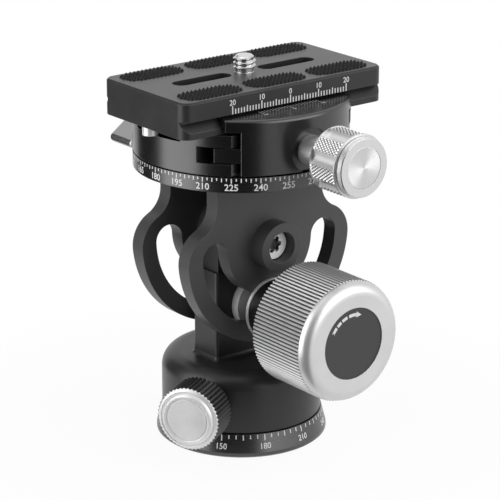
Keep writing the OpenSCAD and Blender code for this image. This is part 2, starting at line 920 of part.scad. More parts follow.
// Pivot screws, sunk in the bosses
module pivot_screws() {
    color("#cfd0d1")
        for (side = [0, 1])
            to_front(pivot_z)
                mirror([0, 0, side])
                    difference() {
                        union() {
                            translate([0, 0, head_face - pivot_head_t])
                                cylinder(r = recess_r - free_clear, h = pivot_head_t);
                            translate([0, 0, shaft_end - pivot_screw_l + 0.5])
                                cylinder(r = pivot_screw_r, h = head_face - shaft_end + pivot_screw_l - 1);
                        }
                        translate([0, 0, head_face - pivot_head_t * 0.7])
                            linear_extrude(height = pivot_head_t)
                                lobe_recess(lobe_r);
                    }
}

// Turntable with the upper scale on its rim and the hub that the clamp turns on
module turntable() {
    color("#232427")
        difference() {
            union() {
                translate([0, 0, turntable_z])
                    cylinder(r = head_r, h = turntable_t);
                translate([0, 0, turntable_z])
                    cylinder(r = hub_r, h = turntable_t + hub_h);
            }
            translate([0, 0, hub_top - head_bolt_l])
                cylinder(r = head_bolt_r + fit_clear, h = head_bolt_l + 1);
            at_yoke_screws()
                flat_head_screw(yoke_screw_r + fit_clear, yoke_screw_head_r + fit_clear, yoke_screw_l);
        }
}

// Countersunk screws through the turntable into the yoke plates
module yoke_screws() {
    color("#5c5e61")
        at_yoke_screws()
            translate([0, 0, -fit_clear])
                flat_head_screw(yoke_screw_r, yoke_screw_head_r, yoke_screw_l);
}

// Bolt that keeps the clamp on the hub
module head_bolt() {
    color("#6a6c6f")
        difference() {
            union() {
                translate([0, 0, hub_top - head_bolt_l + 0.5])
                    cylinder(r = head_bolt_r, h = head_seat_z - hub_top + head_bolt_l);
                translate([0, 0, head_seat_z + washer_t])
                    cylinder(r = head_bolt_head_r, h = head_bolt_head_t);
            }
            translate([0, 0, head_seat_z + washer_t + head_bolt_head_t * 0.4])
                cylinder(r = head_bolt_r * 0.95, h = head_bolt_head_t, $fn = 6);
        }
}

// Washer under that bolt's head
module head_bolt_washer() {
    color("#c9c4b6")
        flat_ring(head_bolt_head_r + head_washer_wide, head_bolt_r + fit_clear,
            head_seat_z + face_clear, washer_t - face_clear);
}

// Bearing washer between the turntable and the clamp
module head_washer() {
    color("#101012")
        flat_ring(head_r - 2, hub_r + free_clear, turntable_top, washer_t - face_clear);
}

// Round blank of the clamp, with its upper edge rounded
module clamp_blank(bottom, top) {
    rotate_extrude()
        union() {
            translate([0, bottom])
                square([head_r, top - bottom - jaw_round]);
            translate([0, bottom])
                square([head_r - jaw_round, top - bottom]);
            translate([head_r - jaw_round, top - jaw_round])
                intersection() {
                    circle(r = jaw_round);
                    square(jaw_round);
                }
        }
}

// Section of a jaw's lip, drawn outward from the plate's edge
module lip_section(edge, outer) {
    slope = groove_d - 0.3;
    polygon([
        [outer, lip_under],
        [edge + lip_side, lip_under],
        [edge + lip_side, flange_z + lip_clear - lip_side],
        [edge - slope, flange_z + lip_clear + slope],
        [edge - slope, lip_top],
        [outer, lip_top]
    ]);
}

// Room left for the stop screws at both ends of the clamp
module stop_channels() {
    for (side = [-1, 1])
        translate([side * (land_half + head_r), plate_y, floor_z + seat_h])
            cube([2 * head_r, 2 * channel_half, 2 * seat_h], center = true);
}

// Fixed half of the clamp, with the far jaw
module clamp_body() {
    color("#27282a")
        difference() {
            union() {
                translate([0, 0, clamp_z])
                    cylinder(r = head_r, h = seat_z - clamp_z);
                intersection() {
                    clamp_blank(clamp_z, lip_top);
                    rotate([90, 0, 90])
                        linear_extrude(height = 2 * lip_half, center = true)
                            union() {
                                lip_section(edge_far, head_r + 1);
                                translate([edge_far + lip_side, seat_z - 1])
                                    square([head_r, lip_under - seat_z + 1 + eps]);
                            }
                }
            }
            translate([0, -split_y - head_r, clamp_z])
                cube([3 * head_r, 2 * head_r, 4 * floor_h], center = true);
            stop_channels();
            translate([0, -(pocket_end + head_r), screw_z])
                cube([3 * head_r, 2 * head_r, jaw_tongue_t + 2 * tongue_clear], center = true);
            translate([0, 0, clamp_z - 1])
                cylinder(r = hub_r + run_clear, h = cavity_top - clamp_z + 1);
            translate([0, 0, clamp_z])
                cylinder(r = head_bolt_r + run_clear, h = seat_z);
            translate([0, 0, head_seat_z])
                cylinder(r = head_bolt_head_r + head_washer_wide + free_clear, h = seat_z);
            to_front(screw_z) {
                translate([0, 0, clamp_screw_tip - 0.6])
                    cylinder(r = clamp_screw_r + run_clear, h = head_r);
                for (x = [-pin_x, pin_x])
                    translate([x, 0, pin_start - 0.5])
                        cylinder(r = pin_r + run_clear, h = head_r);
            }
            to_back(wing_z)
                cylinder(r = wing_stud_r + run_clear, h = 2 * head_r);
        }
}

// Moving jaw, with its lip, its guide tongue and the seat of the knob's collar
module clamp_jaw() {
    color("#27282a")
        difference() {
            union() {
                intersection() {
                    clamp_blank(jaw_z, lip_top);
                    translate([0, -jaw_y - head_r, clamp_z])
                        cube([4 * head_r, 2 * head_r, 8 * head_r], center = true);
                }
                intersection() {
                    clamp_blank(jaw_z, lip_top);
                    rotate([90, 0, 90])
                        linear_extrude(height = 2 * lip_half, center = true)
                            mirror([1, 0])
                                lip_section(-edge_near, jaw_y + 1);
                }
                intersection() {
                    translate([0, 0, clamp_z])
                        cylinder(r = head_r - tongue_set, h = 2 * screw_h);
                    translate([0, -(tongue_end + head_r), screw_z])
                        cube([4 * head_r, 2 * head_r, jaw_tongue_t], center = true);
                }
            }
            to_front(screw_z) {
                cylinder(r = clamp_screw_r + run_clear, h = 2 * head_r);
                translate([0, 0, spot_y])
                    cylinder(r = spot_r, h = head_r);
                for (x = [-pin_x, pin_x])
                    translate([x, 0, 0])
                        cylinder(r = pin_r + fit_clear, h = pin_end + fit_clear);
            }
        }
}

// Pins that guide the jaw in the clamp body
module jaw_pins() {
    color("#9a9c9f")
        to_front(screw_z)
            for (x = [-pin_x, pin_x])
                translate([x, 0, pin_start])
                    cylinder(r = pin_r, h = pin_end - pin_start);
}

// Screw that draws the jaw in
module clamp_screw() {
    color("#9a9c9f")
        to_front(screw_z)
            translate([0, 0, clamp_screw_tip])
                cylinder(r = clamp_screw_r, h = clamp_screw_end - clamp_screw_tip);
}

// Fluted outline of the clamp knob, in the plane
module fluted_circle() {
    difference() {
        circle(r = clamp_knob_r);
        for (i = [0 : clamp_flutes - 1])
            rotate(i * 360 / clamp_flutes)
                translate([clamp_knob_r - flute_depth + flute_r, 0])
                    circle(r = flute_r);
    }
}

// Clamp knob: collar, fluted grip between plain bands, front rim and a seat for the disc
module clamp_knob() {
    band_r = clamp_knob_r - clamp_band_set;
    rim_r = clamp_knob_r - clamp_rim_set;
    color("#c9cbcd")
        to_front(screw_z)
            difference() {
                union() {
                    translate([0, 0, collar_start])
                        cylinder(r = collar_r, h = collar_l + eps);
                    translate([0, 0, clamp_grip_start])
                        cylinder(r1 = clamp_knob_r - clamp_heel, r2 = clamp_knob_r - 0.1, h = clamp_heel);
                    translate([0, 0, clamp_grip_start + clamp_heel - eps])
                        linear_extrude(height = flute_end - clamp_grip_start - clamp_heel + eps)
                            fluted_circle();
                    translate([0, 0, flute_end - eps])
                        cylinder(r = band_r, h = clamp_band + eps);
                    translate([0, 0, flute_end + clamp_band - eps])
                        cylinder(r = clamp_knob_r - clamp_neck_set, h = clamp_neck + 2 * eps);
                    translate([0, 0, clamp_front - clamp_rim])
                        cylinder(r = rim_r, h = clamp_rim - clamp_edge + eps);
                    translate([0, 0, clamp_front - clamp_edge])
                        cylinder(r1 = rim_r, r2 = rim_r - clamp_edge, h = clamp_edge);
                }
                translate([0, 0, collar_start - 1])
                    cylinder(r = clamp_screw_r + fit_clear, h = clamp_screw_end - collar_start + 1 + fit_clear);
                translate([0, 0, clamp_front - clamp_cap_sink - clamp_cap_t])
                    cylinder(r = clamp_cap_r + fit_clear, h = clamp_cap_t + 1);
            }
}

// Bright spun disc in the clamp knob's front
module clamp_knob_cap() {
    color("#dcddde")
        to_front(screw_z)
            translate([0, 0, clamp_front - clamp_cap_sink - clamp_cap_t])
                cylinder(r = clamp_cap_r, h = clamp_cap_t);
}

// Pad that the wing presses on the turntable's hub
module wing_pad() {
    color("#d8d4c8")
        to_back(wing_z)
            translate([0, 0, wing_pad_start])
                cylinder(r = wing_stud_r, h = wing_pad_t);
}

// Threaded stud of the wing
module wing_stud() {
    color("#9a9c9f")
        to_back(wing_z)
            translate([0, 0, wing_stud_start])
                cylinder(r = wing_stud_r, h = wing_stud_end - wing_stud_start);
}

// One round-edged blade of the wing, on the +X side of its axis
module wing_blade() {
    inner_y = wing_start + wing_edge;
    tip_x = wing_half - wing_edge;
    hull() {
        for (p = [
            [0, inner_y],
            [tip_x, inner_y],
            [tip_x, wing_start + wing_tip_l - wing_edge],
            [tip_x * 0.38, wing_start + wing_reach - wing_edge],
            [0, wing_start + wing_reach - wing_edge]
        ])
            translate([p[0], p[1], 0])
                sphere(r = wing_edge, $fn = 24);
    }
}

// Wing that locks the clamp on the turntable
module pan_wing() {
    color("#b9bbbd")
        translate([0, 0, wing_z])
            rotate([0, -wing_tilt, 0])
                difference() {
                    union() {
                        wing_blade();
                        mirror([1, 0, 0])
                            wing_blade();
                        translate([0, wing_start, 0])
                            rotate([-90, 0, 0])
                                cylinder(r = wing_hub_r, h = wing_hub_l);
                    }
                    rotate([-90, 0, 0])
                        cylinder(r = wing_stud_r + fit_clear, h = wing_stud_end + fit_clear);
                }
}

// Places a child at the plate's middle, on level z
module at_plate(z) {
    translate([plate_x, plate_y, z])
        children();
}

// Places a child at each rubber pad
module at_pads() {
    for (x = [-1, 0, 1], y = [-1, 1])
        translate([x * pad_pitch, y * pad_row, 0])
            children();
}

// Outline of the groove along a plate's edge, in the section across the plate
module groove_section() {
    slope_top = min(flange_z + groove_d, slab_z);
    polygon([
        [plate_w / 2 + 1, flange_z - 1],
        [plate_w / 2, flange_z],
        [plate_w / 2 - groove_d, slope_top],
        [plate_w / 2 - groove_d, slab_z],
        [plate_w / 2 + 1, slab_z]
    ]);
}

// Section of the plate's bevelled top, w wide at its foot
module bevel_section(w) {
    polygon([
        [-w / 2, plate_top - top_chamfer - eps],
        [w / 2, plate_top - top_chamfer - eps],
        [w / 2, plate_top - top_chamfer],
        [w / 2 - top_chamfer, plate_top],
        [-w / 2 + top_chamfer, plate_top],
        [-w / 2, plate_top - top_chamfer]
    ]);
}

// Blank of the camera plate, with round corners and a bevelled top edge
module plate_blank() {
    run_x = plate_l - 2 * plate_round;
    run_y = plate_w - 2 * plate_round;
    translate([0, 0, plate_z])
        linear_extrude(height = plate_top - plate_z - top_chamfer)
            rounded_rect(plate_l, plate_w, plate_round);
    rotate([90, 0, 90])
        linear_extrude(height = run_x, center = true)
            bevel_section(plate_w);
    rotate([90, 0, 0])
        linear_extrude(height = run_y, center = true)
            bevel_section(plate_l);
    for (x = [-1, 1], y = [-1, 1])
        translate([x * run_x / 2, y * run_y / 2, plate_top - top_chamfer])
            cylinder(r1 = plate_round, r2 = plate_round - top_chamfer, h = top_chamfer);
}

// Camera plate with its dovetail grooves, slots, pad seats and screw holes
module quick_plate() {
    color("#3c3e41")
        at_plate(0)
            difference() {
                plate_blank();
                for (side = [0, 1])
                    mirror([0, side, 0])
                        rotate([90, 0, 90])
                            linear_extrude(height = plate_l + 2, center = true)
                                groove_section();
                for (side = [-1, 1]) {
                    translate([side * slot_x, 0, plate_z - 1])
                        linear_extrude(height = plate_top - plate_z + 2)
                            obround(slot_l, slot_w);
                    translate([side * stop_x, 0, plate_z - 1])
                        cylinder(r = stop_shank_r + fit_clear, h = stop_shank_l + 1.5);
                }
                at_pads()
                    translate([0, 0, plate_top - pad_sink])
                        linear_extrude(height = pad_sink + 1)
                            obround(pad_l + 2 * fit_clear, pad_w + 2 * fit_clear);
                translate([0, 0, plate_z - 1])
                    cylinder(r = camera_neck_r + run_clear, h = plate_top - plate_z + 2);
                translate([0, 0, plate_z - 1])
                    cylinder(r = camera_head_r + run_clear, h = camera_recess_top - plate_z + 1);
            }
}

// Rubber pads that the camera rests on
module plate_pads() {
    color("#2f3133")
        at_plate(plate_top - pad_sink)
            at_pads()
                linear_extrude(height = pad_sink + pad_rise)
                    obround(pad_l, pad_w);
}

// Captive camera screw: slotted head below, neck in the plate, thread above
module camera_screw() {
    color("#b9bbbd")
        at_plate(0)
            difference() {
                union() {
                    translate([0, 0, camera_head_z])
                        cylinder(r = camera_head_r, h = camera_head_t);
                    translate([0, 0, camera_head_z])
                        cylinder(r = camera_neck_r, h = plate_top - camera_head_z + face_clear + eps);
                    translate([0, 0, plate_top + face_clear])
                        cylinder(r = camera_d / 2, h = camera_rise - camera_tip - face_clear);
                    translate([0, 0, plate_top + camera_rise - camera_tip - eps])
                        cylinder(r1 = camera_d / 2, r2 = camera_d / 2 - camera_tip, h = camera_tip);
                }
                translate([0, 0, camera_head_z])
                    cube([3 * camera_head_r, 1.4, 1.6], center = true);
            }
}

// Screws below the plate's ends that keep it from sliding out
module stop_screws() {
    color("#d0d1d2")
        at_plate(plate_z)
            for (side = [-1, 1])
                translate([side * stop_x, 0, 0]) {
                    translate([0, 0, -stop_drop])
                        cylinder(r = stop_r, h = stop_drop);
                    translate([0, 0, -eps])
                        cylinder(r = stop_shank_r, h = stop_shank_l);
                }
}

base_ring();
pan_spindle();
pan_washer();
pan_retainer();
retainer_screws();
stem_housing();
pan_lock_pad();
pan_lock_stud();
pan_lock_knob();
pan_lock_cap();
lock_bolt();
lock_spacers();
lock_washer();
lock_knob();
lock_nut();
lock_knob_insert();
yoke_front_plate();
yoke_rear_plate();
pivot_shaft();
pivot_washers();
pivot_screws();
turntable();
yoke_screws();
head_bolt();
head_bolt_washer();
head_washer();
clamp_body();
clamp_jaw();
jaw_pins();
clamp_screw();
clamp_knob();
clamp_knob_cap();
wing_pad();
wing_stud();
pan_wing();
quick_plate();
plate_pads();
camera_screw();
stop_screws();
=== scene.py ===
import math

import bmesh
import bpy
from mathutils import Matrix, Vector


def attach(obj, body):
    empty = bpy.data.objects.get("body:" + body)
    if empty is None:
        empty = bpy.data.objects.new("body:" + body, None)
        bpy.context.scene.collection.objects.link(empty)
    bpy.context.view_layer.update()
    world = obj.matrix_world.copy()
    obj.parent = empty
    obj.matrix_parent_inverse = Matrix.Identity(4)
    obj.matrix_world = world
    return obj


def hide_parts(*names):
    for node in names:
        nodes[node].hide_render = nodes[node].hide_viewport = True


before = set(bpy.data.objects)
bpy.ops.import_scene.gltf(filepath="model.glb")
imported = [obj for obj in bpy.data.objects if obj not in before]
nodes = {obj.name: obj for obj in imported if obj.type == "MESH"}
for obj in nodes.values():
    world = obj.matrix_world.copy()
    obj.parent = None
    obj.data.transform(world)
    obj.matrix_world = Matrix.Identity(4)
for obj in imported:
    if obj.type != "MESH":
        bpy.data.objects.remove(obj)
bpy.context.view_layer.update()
mm = 0.001
print("frame loaded with", len(nodes), "pieces")

# Places that several pieces share, in mm
tiltLockLevel = 40.1
pivotLevel = 59.4
clampScrewLevel = 90.5
panLockLevel = 16.4
panLockAround = 61  # degrees, counted as in direction()
plateCentre = (0.7, -0.5)
seamGap = 1e-4  # points closer than this are one


# Unit vector toward a place: around is counted from -Y toward -X, rise from the floor, in degrees
def direction(around, rise=0):
    turn = math.radians(around)
    lift = math.radians(rise)
    return Vector((-math.sin(turn) * math.cos(lift), -math.cos(turn) * math.cos(lift), math.sin(lift)))


# Camera, at the photograph's place
viewPoint = {
    "azimuth": -38.20,  # degrees, from the front toward the right
    "elevation": 18.64,
    "distance": 642.9,  # mm from the point looked at
    "lookAt": (0.0, 0.0, 55.0),
    "focal": 2252.14,  # pixels
    "offset": (-8.709, -3.851),  # pixels, right and down
    "imageSide": 500,
    "sensor": 36.0,  # mm
    "clip": (0.01, 20),  # m
}


def makeCamera(look):
    back = direction(-look["azimuth"], look["elevation"])
    data = bpy.data.cameras.new("viewCamera")
    data.sensor_width = look["sensor"]
    data.lens = look["sensor"] * look["focal"] / look["imageSide"]
    data.shift_x = -look["offset"][0] / look["imageSide"]
    data.shift_y = look["offset"][1] / look["imageSide"]
    data.clip_start, data.clip_end = look["clip"]
    camera = bpy.data.objects.new("viewCamera", data)
    camera.location = (Vector(look["lookAt"]) + back * look["distance"]) * mm
    camera.rotation_euler = (-back).to_track_quat("-Z", "Y").to_euler()
    bpy.context.scene.collection.objects.link(camera)
    bpy.context.scene.camera = camera


makeCamera(viewPoint)
bpy.context.scene.view_settings.view_transform = "Standard"
print("camera set")


# Node helpers

valueSocket = "NodeSocketFloat"
vectorSocket = "NodeSocketVector"


def addNode(tree, kind, values=None, **settings):
    node = tree.nodes.new(kind)
    for key, value in settings.items():
        setattr(node, key, value)
    for key, value in (values or {}).items():
        node.inputs[key].default_value = value
    return node


def wire(tree, *pairs):
    for source, target in pairs:
        tree.links.new(source, target)


def newGroup(name, inputs, outputs):
    group = bpy.data.node_groups.new(name, "ShaderNodeTree")
    for label, kind, start in inputs:
        socket = group.interface.new_socket(label, in_out="INPUT", socket_type=kind)
        if start is not None:
            socket.default_value = start
    for label, kind in outputs:
        group.interface.new_socket(label, in_out="OUTPUT", socket_type=kind)
    return group, group.nodes.new("NodeGroupInput").outputs, group.nodes.new("NodeGroupOutput").inputs


# Distance of a vector from its Z axis, and its level along that axis
def addRadius(tree, vector):
    split = addNode(tree, "ShaderNodeSeparateXYZ")
    flat = addNode(tree, "ShaderNodeCombineXYZ")
    radius = addNode(tree, "ShaderNodeVectorMath", operation="LENGTH")
    wire(tree,
         (vector, split.inputs[0]), (split.outputs["X"], flat.inputs["X"]),
         (split.outputs["Y"], flat.inputs["Y"]), (flat.outputs[0], radius.inputs[0]))
    return radius.outputs["Value"], split.outputs["Z"]


# Satin grain: a fine blasted surface with faint clouds in it
def makeSatinGrain():
    cloudShare = 0.03  # of the grain's scale
    noiseMean = 1.0  # of both noises added
    group, given, out = newGroup(
        "satinGrain",
        [("Vector", vectorSocket, None), ("Scale", valueSocket, 5000.0), ("Contrast", valueSocket, 0.2)],
        [("Tone", valueSocket), ("Height", valueSocket)])
    fine = addNode(group, "ShaderNodeTexNoise", {"Detail": 2.0, "Roughness": 0.6})
    cloudScale = addNode(group, "ShaderNodeMath", {1: cloudShare}, operation="MULTIPLY")
    cloud = addNode(group, "ShaderNodeTexNoise", {"Detail": 3.0})
    both = addNode(group, "ShaderNodeMath", operation="ADD")
    centred = addNode(group, "ShaderNodeMath", {1: noiseMean}, operation="SUBTRACT")
    spread = addNode(group, "ShaderNodeMath", {2: 1.0}, operation="MULTIPLY_ADD")
    wire(group,
         (given["Vector"], fine.inputs["Vector"]), (given["Scale"], fine.inputs["Scale"]),
         (given["Scale"], cloudScale.inputs[0]), (cloudScale.outputs[0], cloud.inputs["Scale"]),
         (given["Vector"], cloud.inputs["Vector"]),
         (fine.outputs["Fac"], both.inputs[0]), (cloud.outputs["Fac"], both.inputs[1]),
         (both.outputs[0], centred.inputs[0]), (centred.outputs[0], spread.inputs[0]),
         (given["Contrast"], spread.inputs[1]), (spread.outputs[0], out["Tone"]),
         (fine.outputs["Fac"], out["Height"]))
    return group


# Soft edges: a small rounding of every edge, and a mask where it lies, along which the surfaces paint a
# highlight
def makeSoftEdges():
    group, given, out = newGroup(
        "softEdges",
        [("Radius", valueSocket, 0.0002), ("Gain", valueSocket, 3.0)],
        [("Edge", valueSocket), ("Normal", vectorSocket)])
    bevel = addNode(group, "ShaderNodeBevel", samples=6)
    surface = addNode(group, "ShaderNodeNewGeometry")
    match = addNode(group, "ShaderNodeVectorMath", operation="DOT_PRODUCT")
    apart = addNode(group, "ShaderNodeMath", {0: 1.0}, operation="SUBTRACT")
    mask = addNode(group, "ShaderNodeMath", operation="MULTIPLY", use_clamp=True)
    wire(group,
         (given["Radius"], bevel.inputs["Radius"]), (bevel.outputs["Normal"], match.inputs[0]),
         (surface.outputs["Normal"], match.inputs[1]), (match.outputs["Value"], apart.inputs[1]),
         (apart.outputs[0], mask.inputs[0]), (given["Gain"], mask.inputs[1]),
         (mask.outputs[0], out["Edge"]), (bevel.outputs["Normal"], out["Normal"]))
    return group


# Turned lines: rings left by the lathe, round the Z axis of the vector given
def makeTurnedLines():
    group, given, out = newGroup(
        "turnedLines",
        [("Vector", vectorSocket, None), ("Density", valueSocket, 6000.0)],
        [("Lines", valueSocket)])
    radius, level = addRadius(group, given["Vector"])
    place = addNode(group, "ShaderNodeCombineXYZ")
    noise = addNode(group, "ShaderNodeTexNoise", {"Detail": 3.0, "Roughness": 0.7}, noise_dimensions="2D")
    wire(group,
         (radius, place.inputs["X"]), (level, place.inputs["Y"]),
         (place.outputs[0], noise.inputs["Vector"]), (given["Density"], noise.inputs["Scale"]),
         (noise.outputs["Fac"], out["Lines"]))
    return group


# Grooves: a mask of what lies deep between two radii, from one level of the axis to another, where the
# surfaces paint shade
def makeGrooveMask():
    group, given, out = newGroup(
        "grooveMask",
        [("Vector", vectorSocket, None), ("Low", valueSocket, 0.0), ("High", valueSocket, 1.0),
         ("From", valueSocket, 0.0), ("To", valueSocket, 1.0)],
        [("Deep", valueSocket)])
    radius, level = addRadius(group, given["Vector"])
    depth = addNode(group, "ShaderNodeMapRange", {"To Min": 1.0, "To Max": 0.0})
    after = addNode(group, "ShaderNodeMath", operation="GREATER_THAN")
    before = addNode(group, "ShaderNodeMath", operation="LESS_THAN")
    within = addNode(group, "ShaderNodeMath", operation="MULTIPLY")
    deep = addNode(group, "ShaderNodeMath", operation="MULTIPLY")
    wire(group,
         (radius, depth.inputs["Value"]), (given["Low"], depth.inputs["From Min"]),
         (given["High"], depth.inputs["From Max"]),
         (level, after.inputs[0]), (given["From"], after.inputs[1]),
         (level, before.inputs[0]), (given["To"], before.inputs[1]),
         (after.outputs[0], within.inputs[0]), (before.outputs[0], within.inputs[1]),
         (within.outputs[0], deep.inputs[0]), (depth.outputs[0], deep.inputs[1]),
         (deep.outputs[0], out["Deep"]))
    return group


satinGrain = makeSatinGrain()
softEdges = makeSoftEdges()
turnedLines = makeTurnedLines()
grooveMask = makeGrooveMask()


# Surfaces

# Axes of the turned pieces: centre in mm and the turn in degrees that brings Z onto the axis
axes = {
    "base": ((0, 0, 0), (0, 0, 0)),
    "tiltLock": ((0, 0, tiltLockLevel), (90, 0, 0)),
    "pivot": ((0, 0, pivotLevel), (90, 0, 0)),
    "clampScrew": ((0, 0, clampScrewLevel), (90, 0, 0)),
    "panLock": ((0, 0, panLockLevel), (0, 90, 270 - panLockAround)),
}


def objectVector(tree, axis=None):
    coords = addNode(tree, "ShaderNodeTexCoord")
    if axis is None:
        return coords.outputs["Object"]
    centre, turn = axes[axis]
    values = {"Location": Vector(centre) * mm, "Rotation": [math.radians(angle) for angle in turn]}
    mapping = addNode(tree, "ShaderNodeMapping", values, vector_type="TEXTURE")
    wire(tree, (coords.outputs["Object"], mapping.inputs["Vector"]))
    return mapping.outputs["Vector"]


# The lathe's rings vary the tone and give the relief
def addTurning(tree, look, tone):
    lines = addNode(tree, "ShaderNodeGroup", {"Density": look["density"]}, node_tree=turnedLines)
    limits = {"To Min": 1 - look["streak"], "To Max": 1 + look["streak"]}
    swing = addNode(tree, "ShaderNodeMapRange", limits)
    product = addNode(tree, "ShaderNodeMath", operation="MULTIPLY")
    wire(tree,
         (objectVector(tree, look["axis"]), lines.inputs["Vector"]),
         (lines.outputs["Lines"], swing.inputs["Value"]),
         (swing.outputs[0], product.inputs[0]), (tone, product.inputs[1]))
    return product.outputs[0], lines.outputs["Lines"]


# Paints shade into what lies deep: between the groove's radii, or by the piece's own attribute
def addValleys(tree, look, tone):
    if "groove" in look:
        groove = look["groove"]
        limits = {key.title(): groove[key] * mm for key in ("low", "high", "from", "to")}
        mask = addNode(tree, "ShaderNodeGroup", limits, node_tree=grooveMask)
        wire(tree, (objectVector(tree, groove["axis"]), mask.inputs["Vector"]))
        deep = mask.outputs["Deep"]
    else:
        deep = addNode(tree, "ShaderNodeAttribute", attribute_name=look["valley"]).outputs["Fac"]
    limits = {"From Min": look["valleyShadeFrom"], "To Min": 1.0, "To Max": look["valleyShadeTone"]}
    shade = addNode(tree, "ShaderNodeMapRange", limits)
    darker = addNode(tree, "ShaderNodeMath", operation="MULTIPLY")
    wire(tree,
         (deep, shade.inputs["Value"]), (shade.outputs[0], darker.inputs[0]), (tone, darker.inputs[1]))
    return darker.outputs[0]


def mixColours(tree, first, second, share):
    mix = addNode(tree, "ShaderNodeMix", {"A": (*first, 1), "B": (*second, 1)}, data_type="RGBA")
    wire(tree, (share, mix.inputs["Factor"]))
    return mix.outputs["Result"]


# Behind a level of Y, at the neck, the knob gets a second, dark colour and no metal
def addNeck(tree, look, shader):
    split = addNode(tree, "ShaderNodeSeparateXYZ")
    behind = addNode(tree, "ShaderNodeMath", {1: look["neck"]["from"] * mm}, operation="GREATER_THAN")
    metal = {1: -look["metal"], 2: look["metal"]}
    bare = addNode(tree, "ShaderNodeMath", metal, operation="MULTIPLY_ADD")
    wire(tree,
         (objectVector(tree), split.inputs[0]), (split.outputs["Y"], behind.inputs[0]),
         (behind.outputs[0], bare.inputs[0]), (bare.outputs[0], shader.inputs["Metallic"]))
    return mixColours(tree, look["colour"], look["neck"]["colour"], behind.outputs[0])


# A paler colour where the surface looks up, a painted highlight on the top faces; from and to are the Z of
# its normal
def addTop(tree, look):
    coords = addNode(tree, "ShaderNodeTexCoord")
    split = addNode(tree, "ShaderNodeSeparateXYZ")
    limits = {"From Min": look["top"]["from"], "From Max": look["top"]["to"]}
    upward = addNode(tree, "ShaderNodeMapRange", limits)
    wire(tree, (coords.outputs["Normal"], split.inputs[0]), (split.outputs["Z"], upward.inputs["Value"]))
    return mixColours(tree, look["colour"], look["top"]["colour"], upward.outputs[0])


# What a finish has unless it says otherwise; edge and bumpDepth are in mm. The edge gain and lift make the
# painted edge highlight, and the valley value starts the painted shade in grooves
plainLook = {
    "metal": 0.0, "shine": 0.5, "stretch": 0.0, "contrast": 0.25, "density": 6000, "bump": 0.08,
    "bumpDepth": 0.1, "edge": 0.2, "edgeShare": 0.6, "paintedEdgeGain": 2.2, "paintedEdgeLift": 0.04, "valleyShadeFrom": 0.0,
}


# One surface: a colour that the grain or the lathe's rings vary, with painted shade in grooves and a painted
# highlight on edges
def makeSurface(name, finish):
    look = {**plainLook, **finish}
    base = look["colour"]
    material = bpy.data.materials.new(name)
    material.use_nodes = True
    tree = material.node_tree
    shader = tree.nodes["Principled BSDF"]
    shader.inputs["Metallic"].default_value = look["metal"]
    shader.inputs["Specular IOR Level"].default_value = look["shine"]
    shader.inputs["Anisotropic"].default_value = look["stretch"]
    grain = addNode(tree, "ShaderNodeGroup", {"Contrast": look["contrast"]}, node_tree=satinGrain)
    edges = addNode(tree, "ShaderNodeGroup", {"Radius": look["edge"] * mm}, node_tree=softEdges)
    wire(tree, (objectVector(tree), grain.inputs["Vector"]))
    tone = grain.outputs["Tone"]
    height = grain.outputs["Height"]
    if "axis" in look:
        tone, height = addTurning(tree, look, tone)
    # Deep grooves and knurl valleys get painted shade
    shade = addValleys(tree, look, tone) if "valleyShadeTone" in look else tone
    varied = addNode(tree, "ShaderNodeVectorMath", {0: base}, operation="SCALE")
    if "neck" in look:
        wire(tree, (addNeck(tree, look, shader), varied.inputs[0]))
    # Faces that look up get a painted highlight
    if "top" in look:
        wire(tree, (addTop(tree, look), varied.inputs[0]))
    # A lighter colour along the edges: a painted highlight
    paintedEdgeHighlight = look.get("paintedEdgeHighlight", tuple(min(1.0, c * look["paintedEdgeGain"] + look["paintedEdgeLift"]) for c in base))
    edgeShare = addNode(tree, "ShaderNodeMath", {1: look["edgeShare"]}, operation="MULTIPLY")
    colour = addNode(tree, "ShaderNodeMix", {"B": (*paintedEdgeHighlight, 1)}, data_type="RGBA")
    gloss = addNode(tree, "ShaderNodeMath", {1: look["rough"]}, operation="MULTIPLY", use_clamp=True)
    bump = addNode(tree, "ShaderNodeBump", {"Strength": look["bump"], "Distance": look["bumpDepth"] * mm})
    wire(tree,
         (shade, varied.inputs["Scale"]), (varied.outputs[0], colour.inputs["A"]),
         (edges.outputs["Edge"], edgeShare.inputs[0]), (edgeShare.outputs[0], colour.inputs["Factor"]),
         (colour.outputs["Result"], shader.inputs["Base Color"]),
         (tone, gloss.inputs[0]), (gloss.outputs[0], shader.inputs["Roughness"]),
         (height, bump.inputs["Height"]), (edges.outputs["Normal"], bump.inputs["Normal"]),
         (bump.outputs["Normal"], shader.inputs["Normal"]))
    if "tangent" in look:
        around = addNode(tree, "ShaderNodeTangent", direction_type="RADIAL", axis=look["tangent"])
        wire(tree, (around.outputs[0], shader.inputs["Tangent"]))
    return material


